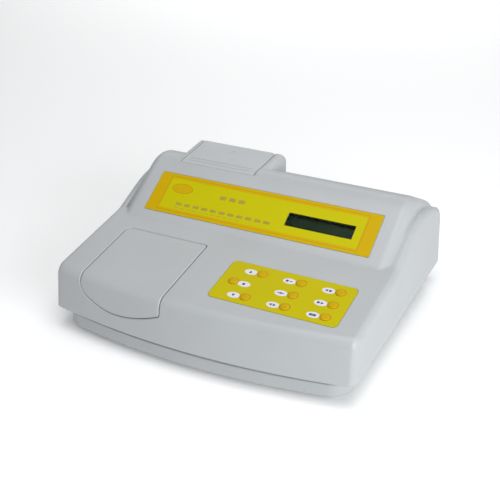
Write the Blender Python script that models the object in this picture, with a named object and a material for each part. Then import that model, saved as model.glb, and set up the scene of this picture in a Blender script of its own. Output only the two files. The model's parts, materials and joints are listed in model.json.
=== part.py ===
"""Bench-top digital water tester: a turbidity meter built up from its separate parts.

Sizes are in millimetres and new_object() turns them into metres.  x runs from left to right, d from the
front edge of the housing to its back, and z up from the table.  The world origin is the middle of the
footprint, so a depth d becomes the world's y = d - DEPTH / 2.
"""
import bpy
from math import asin, atan2, cos, hypot, pi, radians, sin, sqrt, tan

# ---------------------------------------------------------------- driving dimensions
MM = 0.001
GAP = 0.3                     # clearance between pieces that touch

WIDTH = 358.0
DEPTH = 313.4
FOOT_HEIGHT = 6.0
WALL = 3.0                    # moulded housing wall
SPLIT_Z = 28.4                # where the upper housing ends above the base
DRAFT = tan(radians(2.5))     # mould draft of the side and rear walls
LEAN_MIDDLE = tan(radians(12.3))        # how the front wall leans back, at its middle and at its ends
LEAN_ENDS = tan(radians(5.6))
BOW = 18.7                    # how far the front wall curves back at its ends
CORNER_R = 8.0                # housing corners seen from above
FRONT_EDGE_R = 12.0
REAR_EDGE_R = 14.0
SIDE_EDGE_R = 8.0

DECK_Z = 74.75                # height of the keypad deck, carried forward to d = 0
DECK_TILT = radians(7.47)
JUNCTION_D = 141.6            # where the deck meets the display slope
DISPLAY_TILT = radians(30.2)
CREST_D = 229.7               # where the display slope would meet the rear slope
REAR_TILT = radians(27.0)
JUNCTION_R = 25.0
CREST_R = 40.0
SHOULDER_START_D = 150.6      # the shoulders leave the deck behind the display slope's foot
SHOULDER_TILT = radians(22.8)
SHOULDER_D = 232.2
SHOULDER_REAR_TILT = radians(21.7)
SHOULDER_R = 117.0
HUMP_HALF = 166.0             # half width of the raised middle, the shoulders lie outside it
HUMP_EDGE_R = 12.5
HUMP_SIDE_STEP = 1.5          # draft of the hump's end faces

BASE_FRONT = 5.1              # how far the base stands inside the upper housing
BASE_SIDE = 10.0
BASE_REAR = 8.0
BASE_WALL = 3.0
BASE_BOW = 20.8
BASE_CORNER_R = 20.0
FLOOR_Z = FOOT_HEIGHT + BASE_WALL

LID_LEFT, LID_RIGHT = -140.2, -37.8
LID_REAR_D = 116.4
LID_THICK = 2.6
LID_GAP = 1.4
LID_LOW_X = -93.0             # where the front flap hangs lowest
LID_LOW_Z = 45.1
HINGE_BACK = 7.0              # hinge axis in front of the lid's rear edge
HINGE_DEPTH = 3.4             # and below its top face
HINGE_R = 2.9
PIN_R = 1.25

KEY_COLUMNS = (44.2, 89.0, 133.3)
KEY_ROWS = (91.0, 69.0, 48.3)            # measured up the deck
FIRST_KEY_SHIFT = -23.7                 # the middle key of the left column is left of its tag
KEY_R = 5.3
KEY_TRAVEL = 0.6
KEYPAD = (5.0, 149.2, 36.4, 103.8)      # x from, to, up the deck from, to
KEYPAD_CORNER_R = 6.0

PANEL = (-140.1, 140.1, 12.3, 68.5)     # display overlay on the display slope
LCD = (34.0, 114.6, 29.4, 47.7)         # visible window in it
OVERLAY_THICK = 0.6
OVERLAY_SINK = 0.7            # depth of the recess that takes an overlay

BOSS = (-136.0, -14.5, 212.4, 281.5)    # light-source housing: x from, to, d from, to
BOSS_EDGE_R = 8.0
BOSS_TOP_D, BOSS_TOP_Z = 217.0, 137.0
BOSS_TOP_TILT = radians(4.0)
COVER = (-127.5, -29.3, 217.6, 280.9)

WELL_X, WELL_D = -88.9, 66.0            # axis of the sample well
WELL_R = 13.7
VIAL_R = 12.5
BEAM_Z = 46.0                           # height of the light path

REAR_OPENING = (28.0, 158.0, 35.0, 78.0)  # x from, to, z from, to
PANEL_REAR_D = 307.0                      # outer face of the rear connector panel


# ---------------------------------------------------------------- materials
def material(name, colour, roughness, metallic=0.0, transmission=0.0):
    made = bpy.data.materials.new(name)
    made.use_nodes = True
    shader = made.node_tree.nodes["Principled BSDF"]
    shader.inputs["Base Color"].default_value = (*colour, 1.0)
    shader.inputs["Roughness"].default_value = roughness
    shader.inputs["Metallic"].default_value = metallic
    shader.inputs["Transmission Weight"].default_value = transmission
    made.diffuse_color = (*colour, 1.0)
    return made


# ---------------------------------------------------------------- mesh helpers
def new_object(name, points, faces, finish, origin=(0.0, 0.0, 0.0)):
    """Make an object from points (x, d, z) in millimetres, with its origin at a point given the same way."""
    ox, od, oz = origin
    mesh = bpy.data.meshes.new(name)
    mesh.from_pydata([((x - ox) * MM, (d - od) * MM, (z - oz) * MM) for x, d, z in points], [], faces)
    mesh.validate()
    made = bpy.data.objects.new(name, mesh)
    made.location = (ox * MM, (od - DEPTH / 2) * MM, oz * MM)
    bpy.context.scene.collection.objects.link(made)
    if finish is not None:
        mesh.materials.append(finish)
    return made


def as_cutter(piece):
    piece.hide_render = True
    piece.display_type = "WIRE"
    return piece


def combine(target, tool, operation):
    step = target.modifiers.new(operation.lower(), "BOOLEAN")
    step.operation = operation
    step.solver = "EXACT"
    step.object = as_cutter(tool)


def cut(target, tool):
    combine(target, tool, "DIFFERENCE")


def join(target, tool):
    combine(target, tool, "UNION")


def grid_faces(rows, columns, start=0, flip=False):
    """Quads over a grid of points that is stored row after row."""
    faces = []
    for i in range(rows - 1):
        for j in range(columns - 1):
            a = start + i * columns + j
            quad = (a, a + 1, a + columns + 1, a + columns)
            faces.append(tuple(reversed(quad)) if flip else quad)
    return faces


def loft(name, rings, finish, origin=(0.0, 0.0, 0.0)):
    """Solid through closed rings with equal counts; counter-clockwise seen from the last ring."""
    count = len(rings[0])
    points = [point for ring in rings for point in ring]
    faces = [tuple(reversed(range(count)))]
    for i in range(len(rings) - 1):
        for j in range(count):
            k = (j + 1) % count
            faces.append((i * count + j, i * count + k, (i + 1) * count + k, (i + 1) * count + j))
    last = (len(rings) - 1) * count
    faces.append(tuple(range(last, last + count)))
    return new_object(name, points, faces, finish, origin)


def box(name, x, d, z, finish=None, origin=(0.0, 0.0, 0.0)):
    """Box from three (low, high) pairs."""
    outline = ((x[0], d[0]), (x[1], d[0]), (x[1], d[1]), (x[0], d[1]))
    rings = [[(px, pd, height) for px, pd in outline] for height in z]
    return loft(name, rings, finish, origin)


def circle(radius, segments, start=0.0):
    return [(radius * cos(start + 2 * pi * k / segments), radius * sin(start + 2 * pi * k / segments))
            for k in range(segments)]


def along(axis, centre, u, v, w):
    """Point at u, v across an axis and w along it."""
    cx, cd, cz = centre
    if axis == "x":
        return (cx + w, cd + u, cz + v)
    if axis == "d":
        return (cx + v, cd + w, cz + u)
    return (cx + u, cd + v, cz + w)


def turned(name, axis, centre, profile, segments, finish=None, origin=(0.0, 0.0, 0.0)):
    """Turned solid from a closed profile of (radius, distance along the axis), listed upwards outside."""
    points = []
    rows = []
    for radius, w in profile:
        if radius == 0:
            rows.append([len(points)] * segments)
            points.append(along(axis, centre, 0, 0, w))
        else:
            rows.append(list(range(len(points), len(points) + segments)))
            points += [along(axis, centre, u, v, w) for u, v in circle(radius, segments, pi / segments)]
    faces = []
    closed = profile[0][0] != 0
    for i in range(len(rows) if closed else len(rows) - 1):
        low, high = rows[i], rows[(i + 1) % len(rows)]
        for j in range(segments):
            k = (j + 1) % segments
            face = [low[j], low[k], high[k], high[j]]
            unique = [p for n, p in enumerate(face) if p not in face[:n]]
            if len(unique) > 2:
                faces.append(unique)
    return new_object(name, points, faces, finish, origin)


def rod(name, axis, centre, radius, length, segments, finish=None, origin=(0.0, 0.0, 0.0)):
    profile = [(0, 0), (radius, 0), (radius, length), (0, length)]
    return turned(name, axis, centre, profile, segments, finish, origin)


def rounded_outline(x0, x1, y0, y1, radius, steps):
    """Counter-clockwise rectangle with rounded corners."""
    points = []
    corners = ((x1 - radius, y0 + radius, -90), (x1 - radius, y1 - radius, 0),
               (x0 + radius, y1 - radius, 90), (x0 + radius, y0 + radius, 180))
    for cx, cy, start in corners:
        for k in range(steps + 1):
            angle = radians(start + 90 * k / steps)
            points.append((cx + radius * cos(angle), cy + radius * sin(angle)))
    return points


# ---------------------------------------------------------------- sloping faces
class Slope:
    """A plane that rises to the back: u is x, v runs up the slope and h stands out of it."""

    def __init__(self, d, z, tilt):
        self.d, self.z, self.tilt = d, z, tilt

    def at(self, u, v, h):
        return (u, self.d + v * cos(self.tilt) - h * sin(self.tilt),
                self.z + v * sin(self.tilt) + h * cos(self.tilt))

    def plate(self, name, outline, low, high, finish=None, origin=(0.0, 0.0, 0.0)):
        return loft(name, [[self.at(u, v, h) for u, v in outline] for h in (low, high)], finish, origin)

    def block(self, name, area, low, high, finish=None, origin=(0.0, 0.0, 0.0)):
        x0, x1, v0, v1 = area
        return self.plate(name, ((x0, v0), (x1, v0), (x1, v1), (x0, v1)), low, high, finish, origin)

    def rod(self, name, u, v, profile, segments, finish=None, origin=(0.0, 0.0, 0.0)):
        """Solid turned about the slope's normal through (u, v), from (radius, height) rings."""
        rings = [[self.at(u + a, v + b, h) for a, b in circle(radius, segments)] for radius, h in profile]
        return loft(name, rings, finish, origin)


DECK = Slope(0.0, DECK_Z, DECK_TILT)
JUNCTION_Z = DECK_Z + JUNCTION_D * tan(DECK_TILT)
DISPLAY = Slope(JUNCTION_D, JUNCTION_Z, DISPLAY_TILT)
BOSS_TOP = Slope(BOSS_TOP_D, BOSS_TOP_Z, BOSS_TOP_TILT)


# ---------------------------------------------------------------- the housing's side profile
def rounded_path(corners, radii, steps):
    """Open path through the corners, each inner corner replaced by an arc."""
    path = [corners[0]]
    for before, corner, after, radius in zip(corners, corners[1:], corners[2:], radii):
        a = atan2(corner[1] - before[1], corner[0] - before[0])
        b = atan2(after[1] - corner[1], after[0] - corner[0])
        turn = b - a
        reach = radius * tan(abs(turn) / 2)
        side = 1 if turn > 0 else -1
        start = (corner[0] - reach * cos(a), corner[1] - reach * sin(a))
        centre = (start[0] - side * radius * sin(a), start[1] + side * radius * cos(a))
        for k in range(steps + 1):
            angle = a + turn * k / steps
            path.append((centre[0] + side * radius * sin(angle), centre[1] - side * radius * cos(angle)))
    path.append(corners[-1])
    return path


def sunk(corners, depth):
    """The same corners moved down square to the path's stretches."""
    moved = []
    lines = []
    for (d0, z0), (d1, z1) in zip(corners, corners[1:]):
        length = hypot(d1 - d0, z1 - z0)
        lines.append((d0 + (z1 - z0) / length * depth, z0 - (d1 - d0) / length * depth,
                      (d1 - d0) / length, (z1 - z0) / length))
    moved.append(lines[0][:2])
    for (ad, az, au, av), (bd, bz, bu, bv) in zip(lines, lines[1:]):
        t = ((bd - ad) * bv - (bz - az) * bu) / (au * bv - av * bu)
        moved.append((ad + t * au, az + t * av))
    end_d, end_z, u, v = lines[-1]
    length = hypot(corners[-1][0] - corners[-2][0], corners[-1][1] - corners[-2][1])
    moved.append((end_d + u * length, end_z + v * length))
    return moved


def hump_corners():
    crest_z = JUNCTION_Z + (CREST_D - JUNCTION_D) * tan(DISPLAY_TILT)
    tail = 120.0
    return [(-40.0, DECK_Z - 40.0 * tan(DECK_TILT)), (JUNCTION_D, JUNCTION_Z), (CREST_D, crest_z),
            (CREST_D + tail, crest_z - tail * tan(REAR_TILT))]


def shoulder_corners():
    start_z = DECK_Z + SHOULDER_START_D * tan(DECK_TILT)
    top_z = start_z + (SHOULDER_D - SHOULDER_START_D) * tan(SHOULDER_TILT)
    tail = 120.0
    return [(-40.0, DECK_Z - 40.0 * tan(DECK_TILT)), (SHOULDER_START_D, start_z), (SHOULDER_D, top_z),
            (SHOULDER_D + tail, top_z - tail * tan(SHOULDER_REAR_TILT))]


class Skin:
    """The upper housing's surface, moved inwards by an inset (0 is the outside)."""

    def __init__(self, inset, steps):
        self.inset = inset
        self.hump = rounded_path(sunk(hump_corners(), inset), (JUNCTION_R + inset, CREST_R - inset), steps)
        self.shoulder = rounded_path(sunk(shoulder_corners(), inset),
                                     (JUNCTION_R + inset, SHOULDER_R - inset), steps)
        self.half = WIDTH / 2 - inset
        self.hump_half = HUMP_HALF - inset
        self.front_r = FRONT_EDGE_R - inset
        self.rear_r = REAR_EDGE_R - inset
        self.side_r = SIDE_EDGE_R - inset
        self.corner_r = CORNER_R - inset

    @staticmethod
    def height_on(path, d):
        for (d0, z0), (d1, z1) in zip(path, path[1:]):
            if d0 <= d <= d1 and d1 > d0:
                return z0 + (z1 - z0) * (d - d0) / (d1 - d0)
        return path[-1][1]

    @staticmethod
    def edge_drop(distance, radius):
        """How far a rounded edge has fallen, at a distance past the start of its rounding."""
        inside = min(max(distance, 0.0), radius)
        return radius - sqrt(radius * radius - inside * inside)

    def height(self, x, d):
        side = abs(x)
        shoulder = self.height_on(self.shoulder, d)
        top = shoulder
        if side <= self.hump_half:
            start = self.hump_half - HUMP_EDGE_R
            top = max(shoulder, self.height_on(self.hump, d) - self.edge_drop(side - start, HUMP_EDGE_R))
        return top - self.edge_drop(side - (self.half - self.side_r), self.side_r)

    def front(self, x):
        side = abs(x)
        return (self.inset + BOW * (side / (WIDTH / 2)) ** 2
                + self.edge_drop(side - (self.half - self.corner_r), self.corner_r))

    def rear(self, x):
        return DEPTH - self.inset - self.edge_drop(abs(x) - (self.half - self.corner_r), self.corner_r)

    @staticmethod
    def lean(x):
        """How far the front wall goes back for each millimetre of height."""
        return LEAN_MIDDLE - (LEAN_MIDDLE - LEAN_ENDS) * (x / (WIDTH / 2)) ** 2

    def front_edge(self, x):
        return EdgeArc(self, x, self.front(x), self.front_r, 1, DECK_TILT, self.lean(x))

    def leaned(self, x, z):
        """x moved inwards by the side wall's draft; only the shoulders lean."""
        outside = max(0.0, (abs(x) - self.hump_half - HUMP_SIDE_STEP) / (self.half - self.hump_half))
        shift = outside * DRAFT * (z - SPLIT_Z)
        return x - shift if x > 0 else x + shift

    def section(self, x, depths, steps):
        """Points from the foot of the front wall over the top to the foot of the rear wall."""
        front, rear = self.front(x), self.rear(x)
        front_edge = self.front_edge(x)
        rear_edge = EdgeArc(self, x, rear, self.rear_r, -1, REAR_TILT, DRAFT)
        points = [(front, SPLIT_Z)] + [front_edge.at(k / steps) for k in range(steps + 1)]
        points += [(d, self.height(x, d)) for d in depths]
        points += [rear_edge.at(1 - k / steps) for k in range(steps + 1)] + [(rear, SPLIT_Z)]
        return [(self.leaned(x, z), d, z) for d, z in points]

    def stations(self, middle, hump_edge, side_edge):
        """x of the sections: over the middle, round the hump's edge and round the side edge."""
        start = self.hump_half - HUMP_EDGE_R
        side = [start * k / middle for k in range(middle)]
        side += [start + HUMP_EDGE_R * sin(pi / 2 * k / hump_edge) for k in range(hump_edge + 1)]
        side.append(self.hump_half + HUMP_SIDE_STEP)
        start = self.half - max(self.side_r, self.corner_r)
        reach = self.half - start
        side += [start + reach * sin(pi / 2 * k / side_edge) for k in range(1, side_edge + 1)]
        return [-x for x in reversed(side[1:])] + side

    def depths(self):
        """Where the top changes slope, between the front and the rear edge."""
        low, high = 58.0, 288.0
        found = sorted({round(d, 2) for d, _ in self.hump + self.shoulder if low < d < high})
        kept = [low]
        for d in found:
            if d - kept[-1] > 3.0:
                kept.append(d)
        return kept + [high]


class EdgeArc:
    """Rounding from a leaning wall into a face that rises away from it (sign is the way inwards)."""

    def __init__(self, skin, x, foot, radius, sign, tilt, lean):
        self.radius, self.sign = radius, sign
        self.foot, self.lean = foot, lean
        self.first = atan2(lean, 1.0)
        self.sweep = pi / 2 - tilt - self.first
        self.centre_z = skin.height(x, foot + sign * radius) - radius
        for _ in range(6):
            self.centre_d = self.wall_d(self.centre_z) + sign * radius / cos(self.first)
            touch = self.centre_d - sign * radius * sin(tilt)
            self.centre_z = skin.height(x, touch) - radius * cos(tilt)

    def wall_d(self, z):
        return self.foot + self.sign * self.lean * (z - SPLIT_Z)

    def at(self, share):
        """Point on the arc, from 0 at the wall to 1 at the top face."""
        angle = self.first + self.sweep * share
        return (self.centre_d - self.sign * self.radius * cos(angle),
                self.centre_z + self.radius * sin(angle))

    def share_at(self, z):
        """Where the arc is at a height, below 0 when that is on the wall."""
        rise = (z - self.centre_z) / self.radius
        return (asin(max(-1.0, min(1.0, rise))) - self.first) / self.sweep


def shell_mesh(name, outer, inner, finish):
    """Closed shell between two skins, open underneath."""
    points = []
    faces = []
    ends = []
    for skin, flip in ((outer, False), (inner, True)):
        steps = 4 if skin is outer else 2
        depths = skin.depths()
        xs = skin.stations(4, 3, 3)
        start = len(points)
        for x in xs:
            points += skin.section(x, depths, steps)
        columns = (len(points) - start) // len(xs)
        faces += grid_faces(len(xs), columns, start, not flip)
        left = list(range(start, start + columns))
        right = list(range(start + (len(xs) - 1) * columns, start + len(xs) * columns))
        faces.append(left[::-1] if flip else left)
        faces.append(right if flip else right[::-1])
        front = [start + i * columns for i in range(len(xs))]
        rear = [start + (i + 1) * columns - 1 for i in range(len(xs))]
        ends.append(front + rear[::-1])
    out, into = ends
    for i in range(len(out)):
        j = (i + 1) % len(out)
        faces.append((out[i], into[i], into[j], out[j]))
    return new_object(name, points, [tuple(face) for face in faces], finish)


OUTER = Skin(0.0, 4)
INNER = Skin(WALL, 2)


# ---------------------------------------------------------------- the lid, its opening and its bay
def flap_edge_z(x):
    """Lower edge of the lid's front flap: an arc that is lowest near the lid's middle."""
    rise, reach, power = (12.7, 55.2, 1.8) if x > LID_LOW_X else (15.4, 47.2, 2.0)
    return LID_LOW_Z + rise * (abs(x - LID_LOW_X) / reach) ** power


def lid_path(skin, x, rear_d, low_z, steps):
    """Line over the deck at x from rear_d to the front edge and round it down to low_z."""
    edge = skin.front_edge(x)
    end = max(0.0, edge.share_at(low_z))
    arc_steps = steps if end == 0.0 else steps + 1
    path = [(rear_d, skin.height(x, rear_d)), (60.0, skin.height(x, 60.0))]
    path += [edge.at(1 - (1 - end) * k / arc_steps) for k in range(arc_steps + 1)]
    if end == 0.0:
        path.append((edge.wall_d(low_z), low_z))
    return [(x, d, z) for d, z in path]


def wrapped_patch(name, x_range, rear_d, top_inset, bottom_inset, low_edge, finish=None, parts=8,
                  origin=(0.0, 0.0, 0.0)):
    """Solid sheet that follows the deck and the front wall between two insets."""
    xs = [x_range[0] + (x_range[1] - x_range[0]) * k / parts for k in range(parts + 1)]
    points = []
    for inset in (top_inset, bottom_inset):
        skin = Skin(inset, 2)
        for x in xs:
            points += lid_path(skin, x, rear_d, low_edge(x), 5)
    columns = len(points) // (2 * len(xs))
    half = len(xs) * columns
    faces = grid_faces(len(xs), columns) + grid_faces(len(xs), columns, half, True)
    rim = list(range(columns)) + [i * columns + columns - 1 for i in range(1, len(xs))]
    rim += list(range(half - 2, half - 1 - columns, -1)) + [i * columns for i in range(len(xs) - 2, 0, -1)]
    for i in range(len(rim)):
        j = (i + 1) % len(rim)
        faces.append((rim[j], rim[i], rim[i] + half, rim[j] + half))
    return new_object(name, points, faces, finish, origin)


HINGE_V = LID_REAR_D / cos(DECK_TILT) - HINGE_BACK
HINGE_AT = DECK.at(LID_LEFT, HINGE_V, -HINGE_DEPTH)
HINGE_D, HINGE_Z = HINGE_AT[1:]


# ---------------------------------------------------------------- housing
def upper_housing(finish):
    shell = shell_mesh("upper_housing", OUTER, INNER, finish)
    join(shell, boss_block("boss_walls", 0.0, BOSS[2], 112.0, 0.0))
    cut(shell, boss_block("boss_inside", WALL, BOSS[2] + WALL, 90.0, 6.2))
    x0, x1, d0, d1 = COVER
    pocket = (x0 - GAP, x1 + GAP, d0 - GAP - BOSS_TOP_D, d1 + 30 - BOSS_TOP_D)
    cut(shell, BOSS_TOP.block("cover_pocket", pocket, -2.9, 30.0))
    access = (x0 + 9.0, x1 - 9.0, d0 + 12.0 - BOSS_TOP_D, d1 - 14.0 - BOSS_TOP_D)
    cut(shell, BOSS_TOP.block("lamp_access", access, -12.0, 2.0))
    x0, x1, v0, v1 = PANEL
    cut(shell, DISPLAY.block("panel_recess", (x0 - 0.5, x1 + 0.5, v0 - 0.5, v1 + 0.5), -OVERLAY_SINK, 9.0))
    x0, x1, v0, v1 = LCD
    cut(shell, DISPLAY.block("lcd_opening", (x0 - 1.6, x1 + 1.6, v0 - 1.6, v1 + 1.6), -9.0, 9.0))
    x0, x1, v0, v1 = KEYPAD
    outline = rounded_outline(x0 - 0.4, x1 + 0.4, v0 - 0.4, v1 + 0.4, KEYPAD_CORNER_R, 3)
    cut(shell, DECK.plate("keypad_recess", outline, -OVERLAY_SINK, 9.0))
    for number, (x, v) in enumerate(key_places(), 1):
        cut(shell, DECK.rod(f"key_hole_{number}", x, v, ((3.6, -6.0), (3.6, 3.0)), 10))
    for side, x in (("left", LID_LEFT - 6.4), ("right", LID_RIGHT + 1.8)):
        ear = (x, x + 4.6, HINGE_V - 4.0, HINGE_V + 12.0)
        join(shell, DECK.block(f"hinge_ear_{side}", ear, -9.0, -WALL + 0.8))
    for number, (x, d) in enumerate(SCREWS, 1):
        top = min(OUTER.height(x + a, d + b) for a, b in circle(4.5, 8)) - WALL / 2
        join(shell, rod(f"screw_post_{number}", "z", (x, d, POST_Z), 4.5, top - POST_Z, 12))
        cut(shell, rod(f"post_hole_{number}", "z", (x, d, POST_Z - 1.0), 1.9, 14.0, 8))
    opening = wrapped_patch("lid_opening", (LID_LEFT - LID_GAP, LID_RIGHT + LID_GAP), LID_REAR_D + LID_GAP,
                            -6.0, 4.5, lambda x: flap_edge_z(x) - LID_GAP)
    cut(shell, opening)
    cut(shell, rod("pin_hole", "x", (LID_LEFT - 5.0, HINGE_D, HINGE_Z), PIN_R + 0.15, 112.6, 10))
    x0, x1, z0, z1 = REAR_OPENING
    cut(shell, box("rear_opening", (x0, x1), (DEPTH - 12.0, DEPTH + 5.0), (z0, z1)))
    return shell


def boss_block(name, inset, front, foot_z, sink):
    """The light-source housing's outline, made smaller by an inset and lowered by sink."""
    x0, x1, _, rear = BOSS
    radius = BOSS_EDGE_R - inset
    steps = 4
    rings = []
    for d in (front, rear - inset):
        top = BOSS_TOP_Z + (d - BOSS_TOP_D) * tan(BOSS_TOP_TILT) - sink
        ring = [(x0 + inset, d, foot_z), (x1 - inset, d, foot_z)]
        for cx, start in ((x1 - inset - radius, 0), (x0 + inset + radius, 90)):
            for k in range(steps + 1):
                angle = radians(start + 90 * k / steps)
                ring.append((cx + radius * cos(angle), d, top - radius + radius * sin(angle)))
        rings.append(ring)
    return loft(name, rings[::-1], None)


def base_outline(side, front, rear, bow, radius):
    """Outline of the base seen from above, counter-clockwise, with a bowed front."""
    half = WIDTH / 2 - side
    arc = [(sin(pi / 2 * k / 4), 1 - cos(pi / 2 * k / 4)) for k in range(5)]
    middle = [(half - radius) * (k / 4) for k in range(4)]
    xs = middle + [half - radius + radius * s for s, _ in arc]
    back = [0.0] * len(middle) + [radius * c for _, c in arc]
    ahead = [(x, front + bow * (x / (WIDTH / 2)) ** 2 + drop) for x, drop in zip(xs, back)]
    behind = [(half - radius + radius * s, DEPTH - rear - radius * c) for s, c in arc]
    right = ahead + behind[::-1]
    left = [(-x, d) for x, d in right[1:]]
    return right + left[::-1]


def base_ring(z, inset):
    """Ring of the base's own wall at a height."""
    return [(x, d, z) for x, d in base_outline(BASE_SIDE + inset, BASE_FRONT + inset, BASE_REAR + inset,
                                               BASE_BOW, BASE_CORNER_R - inset)]


def lower_housing(finish):
    lip = WALL + 1.0
    rim = base_outline(lip, lip, lip, BOW, CORNER_R)
    rings = [base_ring(FOOT_HEIGHT, 2.8), base_ring(FOOT_HEIGHT + 1.0, 0.8), base_ring(FOOT_HEIGHT + 3.4, 0.0),
             base_ring(SPLIT_Z, -0.6), [(x, d, SPLIT_Z) for x, d in rim], [(x, d, SPLIT_Z + 2.6) for x, d in rim],
             base_ring(SPLIT_Z + 2.6, BASE_WALL), base_ring(FLOOR_Z, BASE_WALL)]
    tray = loft("lower_housing", rings, finish)
    for number, (x, d) in enumerate(FEET, 1):
        cut(tray, rod(f"foot_hole_{number}", "z", (x, d, FOOT_HEIGHT - 2), 3.3, 8.0, 10))
    for number, (x, d) in enumerate(SCREWS, 1):
        post = turned(f"screw_seat_{number}", "z", (x, d, FLOOR_Z - 1.0),
                      [(0, 0), (6.0, 0), (6.0, 8.0), (0, 8.0)], 12)
        join(tray, post)
        cut(tray, rod(f"screw_way_{number}", "z", (x, d, FOOT_HEIGHT - 2), 1.9, 18.0, 8))
        cut(tray, rod(f"screw_sink_{number}", "z", (x, d, FOOT_HEIGHT - 2), 3.8, 8.0, 10))
    for number in range(6):
        x = 20.0 + 14.0 * number
        cut(tray, box(f"vent_{number}", (x, x + 3.0), (228.0, 278.0), (FOOT_HEIGHT - 1, FLOOR_Z + 1)))
    for number, (x, d) in enumerate(RAIL_POSTS):
        join(tray, rod(f"rail_post_{number}", "z", (x, d, FLOOR_Z - 1.0), 5.0,
                       RAIL_Z[0] - GAP - FLOOR_Z + 1.0, 12))
    return tray


FEET = ((-135.0, 48.0), (135.0, 48.0), (-135.0, 275.0), (135.0, 275.0))
POST_Z = 16.8                 # foot of the upper housing's screw posts
SCREWS = ((-154.0, 66.0), (154.0, 66.0), (-154.0, 266.0), (154.0, 232.0))
RAIL_POSTS = ((-98.0, 50.0), (-80.0, 90.0), (-98.0, 200.0), (-80.0, 250.0))


def foot(number, x, d, finish):
    head = FLOOR_Z + GAP
    profile = [(0, 0), (8.0, 0), (9.0, 1.0), (9.6, FOOT_HEIGHT - GAP), (3.0, FOOT_HEIGHT - GAP),
               (3.0, head), (3.9, head), (2.4, head + 3.0), (0, head + 3.0)]
    return turned(f"foot_{number}", "z", (x, d, 0.0), profile, 14, finish)


def housing_screw(number, x, d, finish):
    seat = FOOT_HEIGHT + 4.0
    profile = [(0, seat), (3.5, seat), (3.5, seat + 1.7), (1.6, seat + 1.7), (1.6, 27.0), (0, 28.5)]
    screw = turned(f"housing_screw_{number}", "z", (x, d, 0.0), profile, 10, finish)
    for turn, size in enumerate(((0.35, 2.2), (2.2, 0.35))):
        cut(screw, box(f"screw_slot_{number}_{turn}", (x - size[0], x + size[0]), (d - size[1], d + size[1]),
                       (seat - 1.0, seat + 0.9)))
    return screw


# ---------------------------------------------------------------- display
def display_overlay(finish):
    outline = rounded_outline(*PANEL, 1.6, 2)
    low = -OVERLAY_SINK + GAP
    sheet = DISPLAY.plate("display_overlay", outline, low, low + OVERLAY_THICK, finish)
    x0, x1, v0, v1 = LCD
    cut(sheet, DISPLAY.block("overlay_window", (x0, x1, v0, v1), -3.0, 3.0))
    return sheet


def lcd_window(finish):
    x0, x1, v0, v1 = LCD
    top = -OVERLAY_SINK
    return DISPLAY.block("lcd_window", (x0 - 1.2, x1 + 1.2, v0 - 1.2, v1 + 1.2), top - 1.5, top, finish)


def lcd_frame(finish):
    x0, x1, v0, v1 = LCD
    area = (x0 - 6.0, x1 + 6.0, v0 - 5.0, v1 + 5.0)
    frame = DISPLAY.block("lcd_frame", area, -8.2, -4.0, finish)
    cut(frame, DISPLAY.block("lcd_frame_view", (x0 - 0.6, x1 + 0.6, v0 - 0.6, v1 + 0.6), -9.0, -2.0))
    cut(frame, DISPLAY.block("lcd_frame_back", (x0 - 4.5, x1 + 4.5, v0 - 3.5, v1 + 3.5), -9.0, -4.9))
    return frame


def lcd_glass(finish):
    x0, x1, v0, v1 = LCD
    return DISPLAY.block("lcd_glass", (x0 - 4.1, x1 + 4.1, v0 - 3.1, v1 + 3.1), -8.0, -5.2, finish)


def lcd_board(finish):
    x0, x1, v0, v1 = LCD
    board = DISPLAY.block("lcd_board", (x0 - 11.0, x1 + 11.0, v0 - 9.0, v1 + 11.0), -10.1, -8.5, finish)
    join(board, DISPLAY.block("lcd_header", (x0, x0 + 40.0, v1 + 5.6, v1 + 10.0), -12.8, -10.0))
    for number, x in enumerate((x0 + 12.0, x1 - 14.0)):
        join(board, DISPLAY.rod(f"lcd_driver_{number}", x, (v0 + v1) / 2, ((5.5, -11.6), (5.5, -10.0)), 12))
    return board


# ---------------------------------------------------------------- keypad
def key_places():
    """Centre of each key on the deck, row by row from the rear left."""
    places = []
    for row, v in enumerate(KEY_ROWS):
        for column, x in enumerate(KEY_COLUMNS):
            swapped = row == 1 and column == 0
            places.append((x + FIRST_KEY_SHIFT if swapped else x, v))
    return places


def keypad_overlay(finish):
    x0, x1, v0, v1 = KEYPAD
    low = -OVERLAY_SINK + GAP
    outline = rounded_outline(x0, x1, v0, v1, KEYPAD_CORNER_R, 4)
    sheet = DECK.plate("keypad_overlay", outline, low, low + OVERLAY_THICK, finish)
    for number, (x, v) in enumerate(key_places(), 1):
        cut(sheet, DECK.rod(f"overlay_hole_{number}", x, v, ((KEY_R + GAP, -3.0), (KEY_R + GAP, 3.0)), 16))
    return sheet


KEY_SWITCH_TOP = -5.6


def key(number, x, v, finish):
    """Domed cap on a plunger that reaches through the deck to its switch."""
    profile = ((3.1, KEY_SWITCH_TOP + 0.1), (3.1, -OVERLAY_SINK + 0.75), (KEY_R, -OVERLAY_SINK + 0.75),
               (KEY_R, 0.75), (4.3, 1.35), (2.4, 1.7))
    return DECK.rod(f"key_{number}", x, v, profile, 16, finish, DECK.at(x, v, 0.0))


def keypad_board(finish):
    x0, x1, v0, v1 = KEYPAD
    switch = KEY_SWITCH_TOP - KEY_TRAVEL - 0.1
    board = DECK.block("keypad_board", (x0 + 4.0, x1 - 3.0, v0 + 2.0, v1 - 2.0), switch - 4.4, switch - 2.8,
                       finish)
    for number, (x, v) in enumerate(key_places(), 1):
        body = ((3.4, switch - 3.0), (3.4, switch - 0.9), (1.7, switch - 0.9), (1.7, switch))
        join(board, DECK.rod(f"tact_switch_{number}", x, v, body, 8))
    return board


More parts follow.
